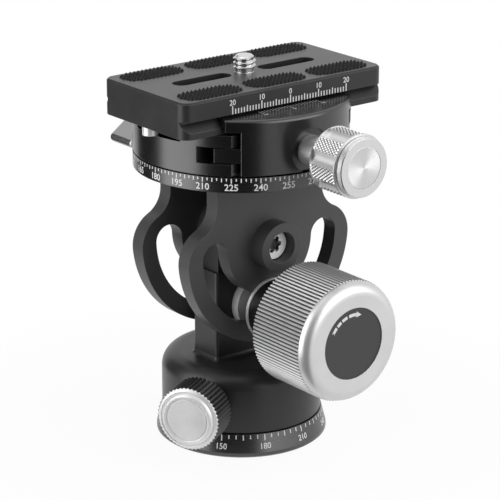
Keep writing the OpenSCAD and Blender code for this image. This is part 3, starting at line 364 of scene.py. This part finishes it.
finishes = {
    "baseRing": {"colour": (0.012, 0.012, 0.0122), "rough": 0.28, "shine": 1.0, "axis": "base",
                 "streak": 0.08, "bump": 0.05},
    "housing": {"colour": (0.026, 0.026, 0.0262), "rough": 0.34, "shine": 0.35, "contrast": 0.2,
                "edgeShare": 0.25},
    "yoke": {"colour": (0.056, 0.056, 0.0563), "rough": 0.40, "shine": 0.4, "contrast": 0.2,
             # The yoke's edge colour is a painted highlight
             "paintedEdgeHighlight": (0.13, 0.13, 0.13), "edgeShare": 0.7},
    "turntable": {"colour": (0.006, 0.006, 0.0062), "rough": 0.28, "shine": 0.9, "axis": "base",
                  "streak": 0.08, "bump": 0.05},
    "clamp": {"colour": (0.006, 0.006, 0.0062), "rough": 0.26, "shine": 0.75, "contrast": 0.2, "bump": 0.06},
    "plate": {"colour": (0.024, 0.024, 0.0242), "rough": 0.40, "shine": 0.3, "contrast": 0.3, "bump": 0.12,
              # The plate's edge colour is a painted highlight
              "paintedEdgeHighlight": (0.16, 0.16, 0.16), "edgeShare": 0.8, "edge": 0.25,
              # The top colour is a painted highlight on faces that look up
              "top": {"colour": (0.075, 0.075, 0.076), "from": 0.7, "to": 0.9}},
    "padRubber": {"colour": (0.003, 0.003, 0.003), "rough": 0.6, "shine": 0.25, "contrast": 0.3,
                  "bump": 0.15, "edge": 0.05, "edgeShare": 0.2},
    "panGrip": {"colour": (0.045, 0.045, 0.045), "rough": 0.36, "contrast": 0.2, "edge": 0.08,
                # The hollows between the ribs get painted shade
                "valleyShadeTone": 0.1,
                "groove": {"axis": "panLock", "low": 8.9, "high": 9.2, "from": 29.2, "to": 37.9}},
    "panCap": {"colour": (0.75, 0.75, 0.755), "metal": 0.45, "rough": 0.44, "axis": "panLock",
               "streak": 0.06, "bump": 0.03, "edge": 0.06, "edgeShare": 0.3},
    "brightWasher": {"colour": (0.82, 0.82, 0.82), "metal": 0.4, "rough": 0.4, "axis": "tiltLock",
                     "streak": 0.06, "bump": 0.03},
    "lockKnob": {"colour": (0.62, 0.62, 0.625), "metal": 0.7, "rough": 0.40, "contrast": 0.1, "bump": 0.03,
                 # The knurl's grooves get painted shade
                 "edge": 0.13, "edgeShare": 0.4, "valleyShadeTone": 0.03,
                 "groove": {"axis": "tiltLock", "low": 16.92, "high": 17.06, "from": 26.95, "to": 46.1},
                 "neck": {"from": -26.9, "colour": (0.006, 0.006, 0.006)}},
    "insert": {"colour": (0.033, 0.033, 0.034), "rough": 0.55, "contrast": 0.1, "bump": 0.05},
    "clampKnob": {"colour": (0.62, 0.62, 0.625), "metal": 0.85, "rough": 0.32, "contrast": 0.05,
                  # The knurl's valleys get painted shade
                  "bump": 0.005, "edge": 0.05, "edgeShare": 0.3, "valley": "valley", "valleyShadeFrom": 0.45,
                  "valleyShadeTone": 0.04},
    "spunDisc": {"colour": (0.64, 0.64, 0.645), "metal": 1.0, "rough": 0.34, "axis": "clampScrew",
                 "density": 9000, "streak": 0.12, "bump": 0.03, "stretch": 0.85, "tangent": "Y"},
    "wing": {"colour": (0.30, 0.30, 0.303), "metal": 1.0, "rough": 0.3, "contrast": 0.1, "bump": 0.03,
             # The wing's bright edge colour is a painted highlight
             "paintedEdgeHighlight": (0.8, 0.8, 0.8), "edgeShare": 0.7},
    "screwSteel": {"colour": (0.6, 0.6, 0.605), "metal": 1.0, "rough": 0.22, "contrast": 0.1, "bump": 0.03,
                   "edge": 0.06},
    "brightScrew": {"colour": (0.80, 0.80, 0.805), "metal": 0.4, "rough": 0.35, "contrast": 0.1,
                    "bump": 0.03},
    "lobedScrew": {"colour": (0.92, 0.92, 0.925), "rough": 0.35, "contrast": 0.1, "bump": 0.03,
                   # Inside radius 2.4 the lobed socket gets painted shade
                   "valleyShadeTone": 0.06,
                   "groove": {"axis": "pivot", "low": 2.4, "high": 2.5, "from": 0.0, "to": 14.95}},
    "spacerSteel": {"colour": (0.46, 0.46, 0.463), "metal": 0.1, "rough": 0.5, "contrast": 0.15,
                    "bump": 0.04},
    "steel": {"colour": (0.5, 0.5, 0.505), "metal": 1.0, "rough": 0.3, "contrast": 0.15, "bump": 0.03},
    "darkSteel": {"colour": (0.16, 0.16, 0.163), "metal": 1.0, "rough": 0.42, "contrast": 0.2, "bump": 0.05},
    "brass": {"colour": (0.62, 0.46, 0.2), "metal": 1.0, "rough": 0.3, "axis": "tiltLock", "streak": 0.1},
    "whiteNylon": {"colour": (0.66, 0.64, 0.58), "rough": 0.5, "contrast": 0.1, "bump": 0.04},
    "blackNylon": {"colour": (0.012, 0.012, 0.012), "rough": 0.5, "contrast": 0.15, "bump": 0.04},
    "whitePrint": {"colour": (0.80, 0.80, 0.80), "rough": 0.6, "contrast": 0.1, "bump": 0.03, "edge": 0.02},
    "engraved": {"colour": (0.66, 0.66, 0.66), "rough": 0.6, "contrast": 0.3, "bump": 0.03, "edge": 0.02},
}
surfaces = {name: makeSurface(name, finish) for name, finish in finishes.items()}

nodeFinish = {
    "base_ring": "baseRing", "pan_spindle": "steel", "pan_washer": "blackNylon", "pan_retainer": "steel",
    "retainer_screws": "darkSteel", "stem_housing": "housing", "pan_lock_pad": "whiteNylon",
    "pan_lock_stud": "steel", "pan_lock_knob": "panGrip", "pan_lock_cap": "panCap",
    "lock_bolt": "brightScrew", "lock_spacers": "spacerSteel", "lock_washer": "brightWasher",
    "lock_knob": "lockKnob", "lock_nut": "brass", "lock_knob_insert": "insert",
    "yoke_front_plate": "yoke", "yoke_rear_plate": "yoke", "pivot_shaft": "steel",
    "pivot_washers": "whiteNylon", "pivot_screws": "lobedScrew", "turntable": "turntable",
    "yoke_screws": "darkSteel", "head_bolt": "darkSteel", "head_bolt_washer": "whiteNylon",
    "head_washer": "blackNylon", "clamp_body": "clamp", "clamp_jaw": "clamp", "jaw_pins": "steel",
    "clamp_screw": "steel", "clamp_knob": "clampKnob", "clamp_knob_cap": "spunDisc",
    "wing_pad": "whiteNylon", "wing_stud": "steel", "pan_wing": "wing", "quick_plate": "plate",
    "plate_pads": "padRubber", "camera_screw": "screwSteel", "stop_screws": "brightScrew",
}
for nodeName, finish in nodeFinish.items():
    node = nodes[nodeName]
    if not node.material_slots:
        node.data.materials.append(surfaces[finish])
    for slot in node.material_slots:
        slot.material = surfaces[finish]
print("finishes made:", len(surfaces))


# New pieces, shaped in mm and scaled to metres as they are put in place

# Edges under the angle sharp, in degrees, are shaded smooth
def makePiece(name, mesh, body, finish, sharp=0):
    data = bpy.data.meshes.new(name)
    bmesh.ops.remove_doubles(mesh, verts=mesh.verts, dist=seamGap * mm)
    bmesh.ops.recalc_face_normals(mesh, faces=mesh.faces)
    for face in mesh.faces:
        face.smooth = sharp > 0
    for edge in mesh.edges:
        edge.smooth = edge.calc_face_angle(0) < math.radians(sharp)
    mesh.to_mesh(data)
    mesh.free()
    data.materials.append(surfaces[finish])
    piece = bpy.data.objects.new(name, data)
    bpy.context.scene.collection.objects.link(piece)
    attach(piece, body)
    return piece


def onlyVerts(geometry):
    return [part for part in geometry if isinstance(part, bmesh.types.BMVert)]


# Scales: ticks and numbers are drawn flat, with x along the scale and y up, then put in place
lettering = {
    "bolder": 0.012,  # share of the letters' size
    "curveSteps": 3,
    "lift": 0.02,  # mm off a round face
}


# A word as a thin closed mesh, its middle on x = 0 and its foot on y = 0
def addWord(target, word, scale, place):
    curve = bpy.data.curves.new("word", "FONT")
    curve.body = word
    curve.size = scale["numberSize"]
    curve.align_x = "CENTER"
    curve.extrude = scale["depth"] / 2
    curve.offset = scale["numberSize"] * lettering["bolder"]
    curve.resolution_u = lettering["curveSteps"]
    holder = bpy.data.objects.new("word", curve)
    bpy.context.scene.collection.objects.link(holder)
    bpy.context.view_layer.update()
    flat = bpy.data.meshes.new_from_object(holder.evaluated_get(bpy.context.evaluated_depsgraph_get()))
    bpy.data.objects.remove(holder)
    bpy.data.curves.remove(curve)
    before = len(target.verts)
    target.from_mesh(flat)
    bpy.data.meshes.remove(flat)
    target.verts.ensure_lookup_table()
    for vert in target.verts[before:]:
        vert.co = place(vert.co.copy())


# A tick from (x, low) to (x, high)
def addTick(target, x, low, high, scale, place):
    for vert in bmesh.ops.create_cube(target, size=1.0)["verts"]:
        corner = vert.co
        vert.co = place(Vector((x + corner.x * scale["width"],
                                (low + high) / 2 + corner.y * (high - low), corner.z * scale["depth"])))


# Long ticks stand at the numbers
def tickLength(scale, mark):
    if mark % scale["numberStep"] == 0:
        return scale["long"]
    return scale["middle"] if mark % scale["middleStep"] == 0 else scale["short"]


# Places a flat point on a dial's cone round Z: angle is counted as in direction()
def onDial(dial, angle, level):
    radius = dial["radius"] - dial["slope"] * (level - dial["radiusLevel"])

    def place(point):
        height = level + point.y
        reach = radius - dial["slope"] * (height - level) + lettering["lift"] + point.z
        turn = math.radians(angle) - point.x / radius
        return Vector((-math.sin(turn) * reach, -math.cos(turn) * reach, height)) * mm
    return place


def makeDial(name, body, dial):
    mesh = bmesh.new()
    for i in range(round(360 / dial["step"])):
        mark = i * dial["step"]
        place = onDial(dial, dial["zeroAngle"] - mark, dial["top"])
        addTick(mesh, 0, -tickLength(dial, mark), 0, dial, place)
    for number in range(0, 360, dial["numberStep"]):
        place = onDial(dial, dial["zeroAngle"] - number, dial["numberFoot"])
        addWord(mesh, str(number), dial, place)
    return makePiece(name, mesh, body, "whitePrint")


# A straight scale along X; its ticks start at one level and grow up or down from it
def makeRule(name, body, finish, rule, place):
    mesh = bmesh.new()
    for mark in range(-rule["reach"], rule["reach"] + 1):
        ends = (rule["tickStart"], rule["tickStart"] + rule["tickWay"] * tickLength(rule, mark))
        addTick(mesh, mark, min(ends), max(ends), rule, place)
    for mark in range(-rule["reach"], rule["reach"] + 1, rule["numberStep"]):
        def placeNumber(point, x=mark):
            return place(Vector((point.x + x, point.y + rule["numberFoot"], point.z)))
        addWord(mesh, str(abs(mark)), rule, placeNumber)
    return makePiece(name, mesh, body, finish)


# Dial on the turntable's rim
upperScale = {
    "radius": 30.6, "slope": 0.0, "radiusLevel": 84.35, "top": 84.35, "zeroAngle": 268.22,
    "step": 2.5, "middleStep": 5, "short": 0.75, "middle": 1.05, "long": 1.35, "width": 0.3, "depth": 0.05,
    "numberStep": 15, "numberSize": 2.6, "numberFoot": 80.95,
}
makeDial("upperScale", "yoke", upperScale)

# Dial on the base ring's skirt, which narrows upward
lowerScale = {
    "radius": 24.7, "slope": 1.4 / 5.2, "radiusLevel": 1.4, "top": 6.4, "zeroAngle": 201.8,
    "step": 5, "middleStep": 15, "short": 1.05, "middle": 1.35, "long": 1.65, "width": 0.3, "depth": 0.05,
    "numberStep": 30, "numberSize": 2.3, "numberFoot": 2.45,
}
makeDial("lowerScale", "base", lowerScale)

# Millimetre scale on the camera plate's near edge
plateScale = {
    "face": -19.4, "zero": 1.8, "reach": 20, "tickStart": 101.2, "tickWay": 1, "middleStep": 5,
    "short": 1.4, "middle": 1.75, "long": 2.2, "width": 0.36, "depth": 0.04, "lift": 0.01,
    "numberStep": 10, "numberSize": 2.15, "numberFoot": 103.7,
}


def onPlateEdge(point):
    off = point.z + plateScale["lift"]
    return Vector((plateScale["zero"] + point.x, plateScale["face"] - off, point.y)) * mm


makeRule("plateScale", "plate", "whitePrint", plateScale, onPlateEdge)

# Engraved scale on the jaw's top
jawScale = {
    "level": 100.45, "zero": 0.5, "reach": 10, "tickStart": -19.55, "tickWay": -1, "middleStep": 5,
    "short": 1.6, "middle": 2.0, "long": 2.3, "width": 0.16, "depth": 0.03, "lift": 0.0075,
    "numberStep": 10, "numberSize": 1.5, "numberFoot": -23.4,
}


def onJawTop(point):
    off = point.z + jawScale["lift"]
    return Vector((jawScale["zero"] + point.x, point.y, jawScale["level"] + off)) * mm


makeRule("jawScale", "jaw", "engraved", jawScale, onJawTop)
print("scales printed")

# Camera screw: head, neck and a rolled thread
cameraScrew = {
    "headRadius": 4.9, "headFoot": 98.0, "headTop": 100.4, "footChamfer": 0.3, "topChamfer": 0.2,
    "neckRadius": 2.725, "plateTop": 106.4, "neckStep": 0.1, "coreRadius": 2.62, "tip": 111.15,
    "tipChamfer": 0.45, "crestRadius": 3.175, "crestRound": 0.05, "pitch": 1.27, "crest": 0.18,
    "root": 0.98, "sink": 0.08, "facets": 64, "stepsPerTurn": 40, "sharp": 40,
    "threadStart": 0.75, "threadEnd": 0.55,  # above the plate and below the tip
}


def makeCameraScrew(screw):
    head, neck, core = screw["headRadius"], screw["neckRadius"], screw["coreRadius"]
    foot, top, tip = screw["headFoot"], screw["headTop"], screw["tip"]
    profile = [(0.0, foot), (head - screw["footChamfer"], foot), (head, foot + screw["footChamfer"]),
               (head, top - screw["topChamfer"]), (head - screw["topChamfer"], top), (neck, top),
               (neck, screw["plateTop"]), (core, screw["plateTop"] + screw["neckStep"]),
               (core, tip - screw["tipChamfer"]), (core - screw["tipChamfer"], tip), (0.0, tip)]
    mesh = bmesh.new()
    verts = [mesh.verts.new((x, 0, z)) for x, z in profile]
    rim = [mesh.edges.new(pair) for pair in zip(verts, verts[1:])]
    bmesh.ops.spin(mesh, geom=verts + rim, cent=(0, 0, 0), axis=(0, 0, 1), angle=math.tau,
                   steps=screw["facets"], use_merge=True)
    bmesh.ops.remove_doubles(mesh, verts=mesh.verts, dist=seamGap)
    # the ridge is one closed section that climbs round the core
    start = screw["plateTop"] + screw["threadStart"]
    rise = tip - screw["threadEnd"] - start
    turns = rise / screw["pitch"]
    steps = round(turns * screw["stepsPerTurn"])
    inner, outer = core - screw["sink"], screw["crestRadius"]
    section = [(inner, -screw["root"] / 2), (outer - screw["crestRound"], -screw["crest"] / 2), (outer, 0),
               (outer - screw["crestRound"], screw["crest"] / 2), (inner, screw["root"] / 2)]
    ridge = mesh.faces.new([mesh.verts.new((x, 0, start + z)) for x, z in section])
    bmesh.ops.spin(mesh, geom=[ridge], cent=(0, 0, 0), axis=(0, 0, 1), dvec=(0, 0, rise / steps),
                   angle=math.tau * turns, steps=steps, use_duplicate=False)
    centre = Vector((*plateCentre, 0))
    for vert in mesh.verts:
        vert.co = (vert.co + centre) * mm
    piece = makePiece("cameraScrew", mesh, "camera_screw", "screwSteel", screw["sharp"])
    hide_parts("camera_screw")
    return piece


makeCameraScrew(cameraScrew)

# Pads: a thin base with rows of small pyramids
pads = {
    "pitch": (22.2, 13.2), "length": 19.6, "width": 8.6, "foot": 105.95, "top": 106.45, "facets": 48,
    "studStep": (1.36, 0.74), "studSize": (1.25, 1.4), "studTop": 107.05, "sink": 0.05, "margin": 0.25,
    "studTip": 0.06,  # radius of the tip as a share of the stud's size
}


def insidePad(x, y, pad):
    past = max(0.0, abs(x) - (pad["length"] - pad["width"]) / 2)
    return math.hypot(past, y) <= pad["width"] / 2 - pad["margin"]


# A circle that is drawn out along X and lifted
def addPadBase(mesh, pad, middle):
    half = (pad["length"] - pad["width"]) / 2
    base = bmesh.ops.create_circle(mesh, cap_ends=True, radius=pad["width"] / 2, segments=pad["facets"])
    for vert in base["verts"]:
        if abs(vert.co.x) > seamGap:
            vert.co.x += math.copysign(half, vert.co.x)
        vert.co += middle + Vector((0, 0, pad["foot"]))
    face = base["verts"][0].link_faces[0]
    lifted = bmesh.ops.extrude_face_region(mesh, geom=[face])["geom"]
    bmesh.ops.translate(mesh, verts=onlyVerts(lifted), vec=(0, 0, pad["top"] - pad["foot"]))


# A pyramid of unit size that is stretched to the stud's
def addStud(mesh, pad, middle, x, y):
    sizeX, sizeY = pad["studSize"]
    foot = pad["top"] - pad["sink"]
    stud = bmesh.ops.create_cone(mesh, cap_ends=True, segments=4, radius1=0.5, radius2=pad["studTip"],
                                 depth=1.0)
    for vert in stud["verts"]:
        height = foot + (vert.co.z + 0.5) * (pad["studTop"] - foot)
        vert.co = middle + Vector((x + vert.co.x * sizeX, y + vert.co.y * sizeY, height))


def makePads(pad):
    mesh = bmesh.new()
    stepX, stepY = pad["studStep"]
    rows = int(pad["width"] / 2 / stepY)
    count = int(pad["length"] / 2 / stepX) + 1
    for column in (-1, 0, 1):
        for row in (-1, 1):
            middle = Vector((plateCentre[0] + column * pad["pitch"][0],
                             plateCentre[1] + row * pad["pitch"][1], 0))
            addPadBase(mesh, pad, middle)
            for j in range(-rows, rows + 1):
                for i in range(-count, count + 1):
                    x = (i + (0.5 if j % 2 else 0.0)) * stepX
                    y = j * stepY
                    if insidePad(x, y, pad):
                        addStud(mesh, pad, middle, x, y)
    for vert in mesh.verts:
        vert.co *= mm
    piece = makePiece("platePads", mesh, "plate", "padRubber")
    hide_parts("plate_pads")
    return piece


makePads(pads)
print("screw and pads made")

# Clamp knob: smooth flutes between lands with a diamond knurl, on a plain collar
clampKnob = {
    "fluteCount": 7, "firstFlute": 11.4, "fluteSteps": 8, "fluteRadius": 3.0, "fluteDepth": 1.1,
    "landSteps": 8, "rows": 14, "knurl": 0.34, "endKnurl": 0.6, "sharp": 28,
    "gripRadius": 8.9, "gripStart": 40.39, "gripEnd": 49.9,
    # rings as radius and distance along the axis, from the grip to the back and to the front
    "back": ((8.85, 40.39), (8.8, 40.25), (8.4, 39.89), (4.25, 39.89), (4.25, 29.89), (3.03, 29.89),
             (3.03, 48.42)),
    "front": ((8.85, 49.9), (8.85, 50.25), (8.7, 50.4), (8.0, 50.4), (8.0, 50.62), (8.15, 50.62),
              (8.15, 52.14), (7.9, 52.39), (5.73, 52.39), (5.73, 50.94)),
}


# Draws a loop of edges out through rings round the Y axis, and closes the last one
def addRings(mesh, loop, rings):
    for radius, along in rings:
        made = bmesh.ops.extrude_edge_only(mesh, edges=loop)["geom"]
        fresh = set(onlyVerts(made))
        edges = [part for part in made if isinstance(part, bmesh.types.BMEdge)]
        loop = [edge for edge in edges if fresh.issuperset(edge.verts)]
        for vert in fresh:
            angle = math.atan2(vert.co.z, vert.co.x)
            vert.co = (radius * math.cos(angle), along, radius * math.sin(angle))
    bmesh.ops.edgeloop_fill(mesh, edges=loop)


def makeClampKnob(knob):
    mesh = bmesh.new()
    flute, land, rows = knob["fluteSteps"], knob["landSteps"], knob["rows"]
    perFlute = flute + land
    columns = knob["fluteCount"] * perFlute
    sector = math.tau / knob["fluteCount"]
    outer, bend = knob["gripRadius"], knob["fluteRadius"]
    away = outer - knob["fluteDepth"] + bend
    lip = math.acos((outer ** 2 + away ** 2 - bend ** 2) / (2 * outer * away))
    swing = math.asin(outer * math.sin(lip) / bend)
    # valley marks the knurl's low points, which the surface paints with shade
    valley = mesh.verts.layers.float.new("valley")
    grid = bmesh.ops.create_grid(mesh, x_segments=columns, y_segments=rows, size=1.0)["verts"]
    places = {vert: (round((vert.co.x + 1) / 2 * columns), round((vert.co.y + 1) / 2 * rows))
              for vert in grid}
    lands = [face for face in mesh.faces if min(places[v][0] for v in face.verts) % perFlute >= flute]
    # the flat grid is rolled up: each flute is an arc, each land stands high and low in turn
    for vert, (i, j) in places.items():
        turn = math.radians(knob["firstFlute"]) + sector * (i // perFlute)
        k = i % perFlute
        along = knob["gripStart"] + (knob["gripEnd"] - knob["gripStart"]) * j / rows
        atEnd = j in (0, rows)
        deep = knob["endKnurl"] if atEnd else 1.0 if (i + j) % 2 == 0 else 0.0
        if 0 < k < flute:
            tilt = swing * (2 * k / flute - 1)
            reach, side = away - bend * math.cos(tilt), bend * math.sin(tilt)
        else:
            angle = lip + (k - flute) / land * (sector - 2 * lip) if k else -lip
            radius = outer - knob["knurl"] * deep
            vert[valley] = 0.0 if atEnd else deep
            reach, side = radius * math.cos(angle), radius * math.sin(angle)
        vert.co = (reach * math.cos(turn) - side * math.sin(turn), along,
                   reach * math.sin(turn) + side * math.cos(turn))
    for face in lands:
        low = [v for v in face.verts if sum(places[v]) % 2 == 0]
        bmesh.utils.face_split(face, low[0], low[1])
    bmesh.ops.remove_doubles(mesh, verts=mesh.verts, dist=seamGap)
    rims = [edge for edge in mesh.edges if edge.is_boundary]
    middle = (knob["gripStart"] + knob["gripEnd"]) / 2
    backRim = [edge for edge in rims if edge.verts[0].co.y < middle]
    frontRim = [edge for edge in rims if edge.verts[0].co.y > middle]
    grip = set(mesh.verts)
    addRings(mesh, backRim, knob["back"])
    addRings(mesh, frontRim, knob["front"])
    for vert in set(mesh.verts) - grip:
        vert[valley] = 0.0
    for vert in mesh.verts:
        vert.co = Vector((vert.co.x, -vert.co.y, vert.co.z + clampScrewLevel)) * mm
    piece = makePiece("clampKnob", mesh, "clamp_knob", "clampKnob", knob["sharp"])
    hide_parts("clamp_knob")
    return piece


makeClampKnob(clampKnob)

# Pan lock cap: toothed rim, groove, rounded bead, a thin line and a flat middle
panCap = {
    "ribs": 48, "peak": 9.2, "hollow": 8.78, "foot": 37.85, "sharp": 24,
    # rings as radius and distance along the axis, from the rim inward
    "rings": ((8.78, 38.05), (8.35, 38.3), (8.15, 38.35), (7.95, 38.12), (7.75, 38.12), (7.5, 38.5),
              (7.2, 38.85), (6.9, 39.02), (6.55, 39.05), (6.25, 38.95), (6.1, 38.65), (5.95, 38.65),
              (5.86, 38.88), (5.79, 38.95)),
}


def makePanCap(cap):
    mesh = bmesh.new()
    rim = bmesh.ops.create_circle(mesh, cap_ends=True, segments=2 * cap["ribs"], radius=1.0)["verts"]
    for vert in rim:
        angle = math.atan2(vert.co.y, vert.co.x)
        reach = cap["hollow"] if round(angle / math.pi * cap["ribs"]) % 2 else cap["peak"]
        vert.co = (reach * math.cos(angle), cap["foot"], reach * math.sin(angle))
    addRings(mesh, list(rim[0].link_faces[0].edges), cap["rings"])
    outward = direction(panLockAround)
    across = direction(panLockAround - 90)
    for vert in mesh.verts:
        upward = Vector((0, 0, vert.co.z + panLockLevel))
        vert.co = (across * vert.co.x + outward * vert.co.y + upward) * mm
    piece = makePiece("panCap", mesh, "pan_lock", "panCap", sharp=cap["sharp"])
    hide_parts("pan_lock_cap")
    return piece


makePanCap(panCap)

# Turning arrow on the tilt knob's disc, in four strokes: angles in degrees from +X toward +Z
lockArrow = {
    "face": -49.03, "lift": 0.005, "radius": 8.25, "width": 0.92, "depth": 0.04, "steps": 6,
    "strokes": ((151.5, 135.5), (132.5, 121.5), (118.3, 105.2), (101, 82)),
    "headFrom": 82.5, "headTo": 69.8, "headWidth": 1.7, "tailNotch": 0.8,
}


def makeLockArrow(arrow):
    mesh = bmesh.new()
    radius = arrow["radius"]

    def spot(reach, degrees):
        angle = math.radians(degrees)
        return Vector((reach * math.cos(angle), 0, reach * math.sin(angle)))
    for index, (start, end) in enumerate(arrow["strokes"]):
        sides = (radius - arrow["width"] / 2, radius + arrow["width"] / 2)
        ends = [mesh.verts.new(spot(side, start)) for side in sides]
        line = mesh.edges.new(ends)
        bmesh.ops.spin(mesh, geom=[*ends, line], cent=(0, 0, 0), axis=(0, 1, 0),
                       angle=math.radians(start - end), steps=arrow["steps"])
        if index == 0:
            cut = bmesh.ops.subdivide_edges(mesh, edges=[line], cuts=1)["geom_inner"]
            for vert in onlyVerts(cut):
                vert.co = spot(radius, start - math.degrees(arrow["tailNotch"] / radius))
    corners = (spot(radius - arrow["headWidth"] / 2, arrow["headFrom"]), spot(radius, arrow["headTo"]),
               spot(radius + arrow["headWidth"] / 2, arrow["headFrom"]))
    mesh.faces.new([mesh.verts.new(corner) for corner in corners])
    raised = bmesh.ops.extrude_face_region(mesh, geom=list(mesh.faces), use_keep_orig=True)["geom"]
    bmesh.ops.translate(mesh, verts=onlyVerts(raised), vec=(0, -arrow["depth"], 0))
    for vert in mesh.verts:
        vert.co = (vert.co + Vector((0, arrow["face"] - arrow["lift"], tiltLockLevel))) * mm
    return makePiece("lockArrow", mesh, "lock_knob", "whitePrint")


makeLockArrow(lockArrow)
print("clamp knob, pan lock cap and arrow made")


# Studio, in metres: lamps and dark cards are placed by direction() from the point they face

studio = {
    "centre": (0, 0, 0.055),
    "floorLevel": -0.0003, "floorRadius": 0.14, "floorFacets": 128, "floorTone": 0.92, "floorRough": 0.9,
    "floorGlow": 0.94, "fadeFrom": 0.05, "fadeTo": 0.133, "skyTone": 0.22,
    "cardTone": 0.01, "cardRough": 1.0,
    "lamps": {
        "leftBox": {"around": 105.5, "rise": 4, "away": 0.6, "size": (0.5, 1.0), "glow": 2.4},
        "rightBox": {"around": -21, "rise": 26, "away": 0.8, "size": (0.96, 0.7), "glow": 2.4},
        "topBox": {"around": 200, "rise": 74, "away": 1.1, "size": (0.9, 0.7), "glow": 1.0},
    },
    "cards": {
        "frontCard": {"around": 48, "rise": 0, "away": 0.72, "size": (0.86, 1.4)},
        "sideCard": {"around": 153.5, "rise": 0, "away": 0.72, "size": (0.6, 1.2)},
    },
    "mat": {"from": 17, "to": 80, "inner": 0.06, "outer": 0.14, "level": -0.0001, "steps": 24},
}


def addStage(name, mesh, matrix, paint):
    data = bpy.data.meshes.new(name)
    mesh.to_mesh(data)
    mesh.free()
    data.transform(matrix)
    data.materials.append(paint)
    stage = bpy.data.objects.new(name, data)
    bpy.context.scene.collection.objects.link(stage)
    return stage


# Adds a switch that is 1 for rays that show the background
def addBackgroundSwitch(tree):
    rays = addNode(tree, "ShaderNodeLightPath")
    seen = addNode(tree, "ShaderNodeMath", operation="ADD", use_clamp=True)
    clear = addNode(tree, "ShaderNodeMath", operation="ADD", use_clamp=True)
    wire(tree,
         (rays.outputs["Is Camera Ray"], seen.inputs[0]), (rays.outputs["Is Glossy Ray"], seen.inputs[1]),
         (seen.outputs[0], clear.inputs[0]), (rays.outputs["Is Transmission Ray"], clear.inputs[1]))
    return clear.outputs[0]


def makePaint(name, tone, rough):
    paint = bpy.data.materials.new(name)
    paint.use_nodes = True
    shader = paint.node_tree.nodes["Principled BSDF"]
    shader.inputs["Base Color"].default_value = (tone, tone, tone, 1)
    shader.inputs["Roughness"].default_value = rough
    return paint


# White floor that keeps the shadow near the object and melts into the background at its rim
def makeFloorPaint(look):
    paint = makePaint("paleFloor", look["floorTone"], look["floorRough"])
    tree = paint.node_tree
    shader = tree.nodes["Principled BSDF"]
    glow = addNode(tree, "ShaderNodeEmission", {"Color": (1, 1, 1, 1), "Strength": 1.0})
    reach = addNode(tree, "ShaderNodeVectorMath", operation="LENGTH")
    fade = addNode(tree, "ShaderNodeMapRange", {
        "From Min": look["fadeFrom"], "From Max": look["fadeTo"], "To Min": look["floorGlow"],
        "To Max": 1.0}, interpolation_type="SMOOTHSTEP")
    share = addNode(tree, "ShaderNodeMath", operation="MULTIPLY")
    blend = addNode(tree, "ShaderNodeMixShader")
    output = tree.nodes["Material Output"]
    wire(tree,
         (objectVector(tree), reach.inputs[0]), (reach.outputs["Value"], fade.inputs["Value"]),
         (addBackgroundSwitch(tree), share.inputs[0]), (fade.outputs[0], share.inputs[1]),
         (share.outputs[0], blend.inputs["Fac"]), (shader.outputs[0], blend.inputs[1]),
         (glow.outputs[0], blend.inputs[2]), (blend.outputs[0], output.inputs["Surface"]))
    return paint


def makeLamps(look, centre):
    for name, lamp in look["lamps"].items():
        wide, high = lamp["size"]
        data = bpy.data.lights.new(name, "AREA")
        data.shape = "RECTANGLE"
        data.size = wide
        data.size_y = high
        data.energy = lamp["glow"] * math.pi * wide * high
        light = bpy.data.objects.new(name, data)
        toward = direction(lamp["around"], lamp["rise"])
        light.location = centre + toward * lamp["away"]
        light.rotation_euler = (-toward).to_track_quat("-Z", "Y").to_euler()
        bpy.context.scene.collection.objects.link(light)


def makeWorld(look):
    world = bpy.data.worlds.new("studio")
    world.use_nodes = True
    bpy.context.scene.world = world
    tree = world.node_tree
    back = tree.nodes["Background"]
    back.inputs["Color"].default_value = (1, 1, 1, 1)
    level = addNode(tree, "ShaderNodeMapRange", {"To Min": look["skyTone"], "To Max": 1.0})
    wire(tree,
         (addBackgroundSwitch(tree), level.inputs["Value"]), (level.outputs[0], back.inputs["Strength"]))


def makeFloor(look):
    mesh = bmesh.new()
    bmesh.ops.create_circle(mesh, cap_ends=True, radius=look["floorRadius"], segments=look["floorFacets"])
    addStage("floor", mesh, Matrix.Translation((0, 0, look["floorLevel"])), makeFloorPaint(look))


# The dark cards and the mat stand for the dark room behind the camera, which only the sheen shows
def makeCards(look, centre):
    dark = makePaint("darkCard", look["cardTone"], look["cardRough"])
    cards = []
    for name, card in look["cards"].items():
        toward = direction(card["around"], card["rise"])
        turn = (-toward).to_track_quat("Z", "Y").to_matrix().to_4x4()
        mesh = bmesh.new()
        bmesh.ops.create_grid(mesh, x_segments=1, y_segments=1, size=0.5)
        bmesh.ops.scale(mesh, verts=mesh.verts, vec=(*card["size"], 1))
        cards.append(addStage(name, mesh, Matrix.Translation(centre + toward * card["away"]) @ turn, dark))
    mat = look["mat"]
    mesh = bmesh.new()
    ends = [mesh.verts.new(direction(mat["from"]) * mat[end]) for end in ("inner", "outer")]
    line = mesh.edges.new(ends)
    bmesh.ops.spin(mesh, geom=[*ends, line], cent=(0, 0, 0), axis=(0, 0, -1),
                   angle=math.radians(mat["to"] - mat["from"]), steps=mat["steps"])
    cards.append(addStage("floorMat", mesh, Matrix.Translation((0, 0, mat["level"])), dark))
    for card in cards:
        card.visible_camera = False
        card.visible_diffuse = False
        card.visible_shadow = False


def makeStudio(look):
    centre = Vector(look["centre"])
    makeLamps(look, centre)
    makeWorld(look)
    makeFloor(look)
    makeCards(look, centre)


makeStudio(studio)
print("studio lit")
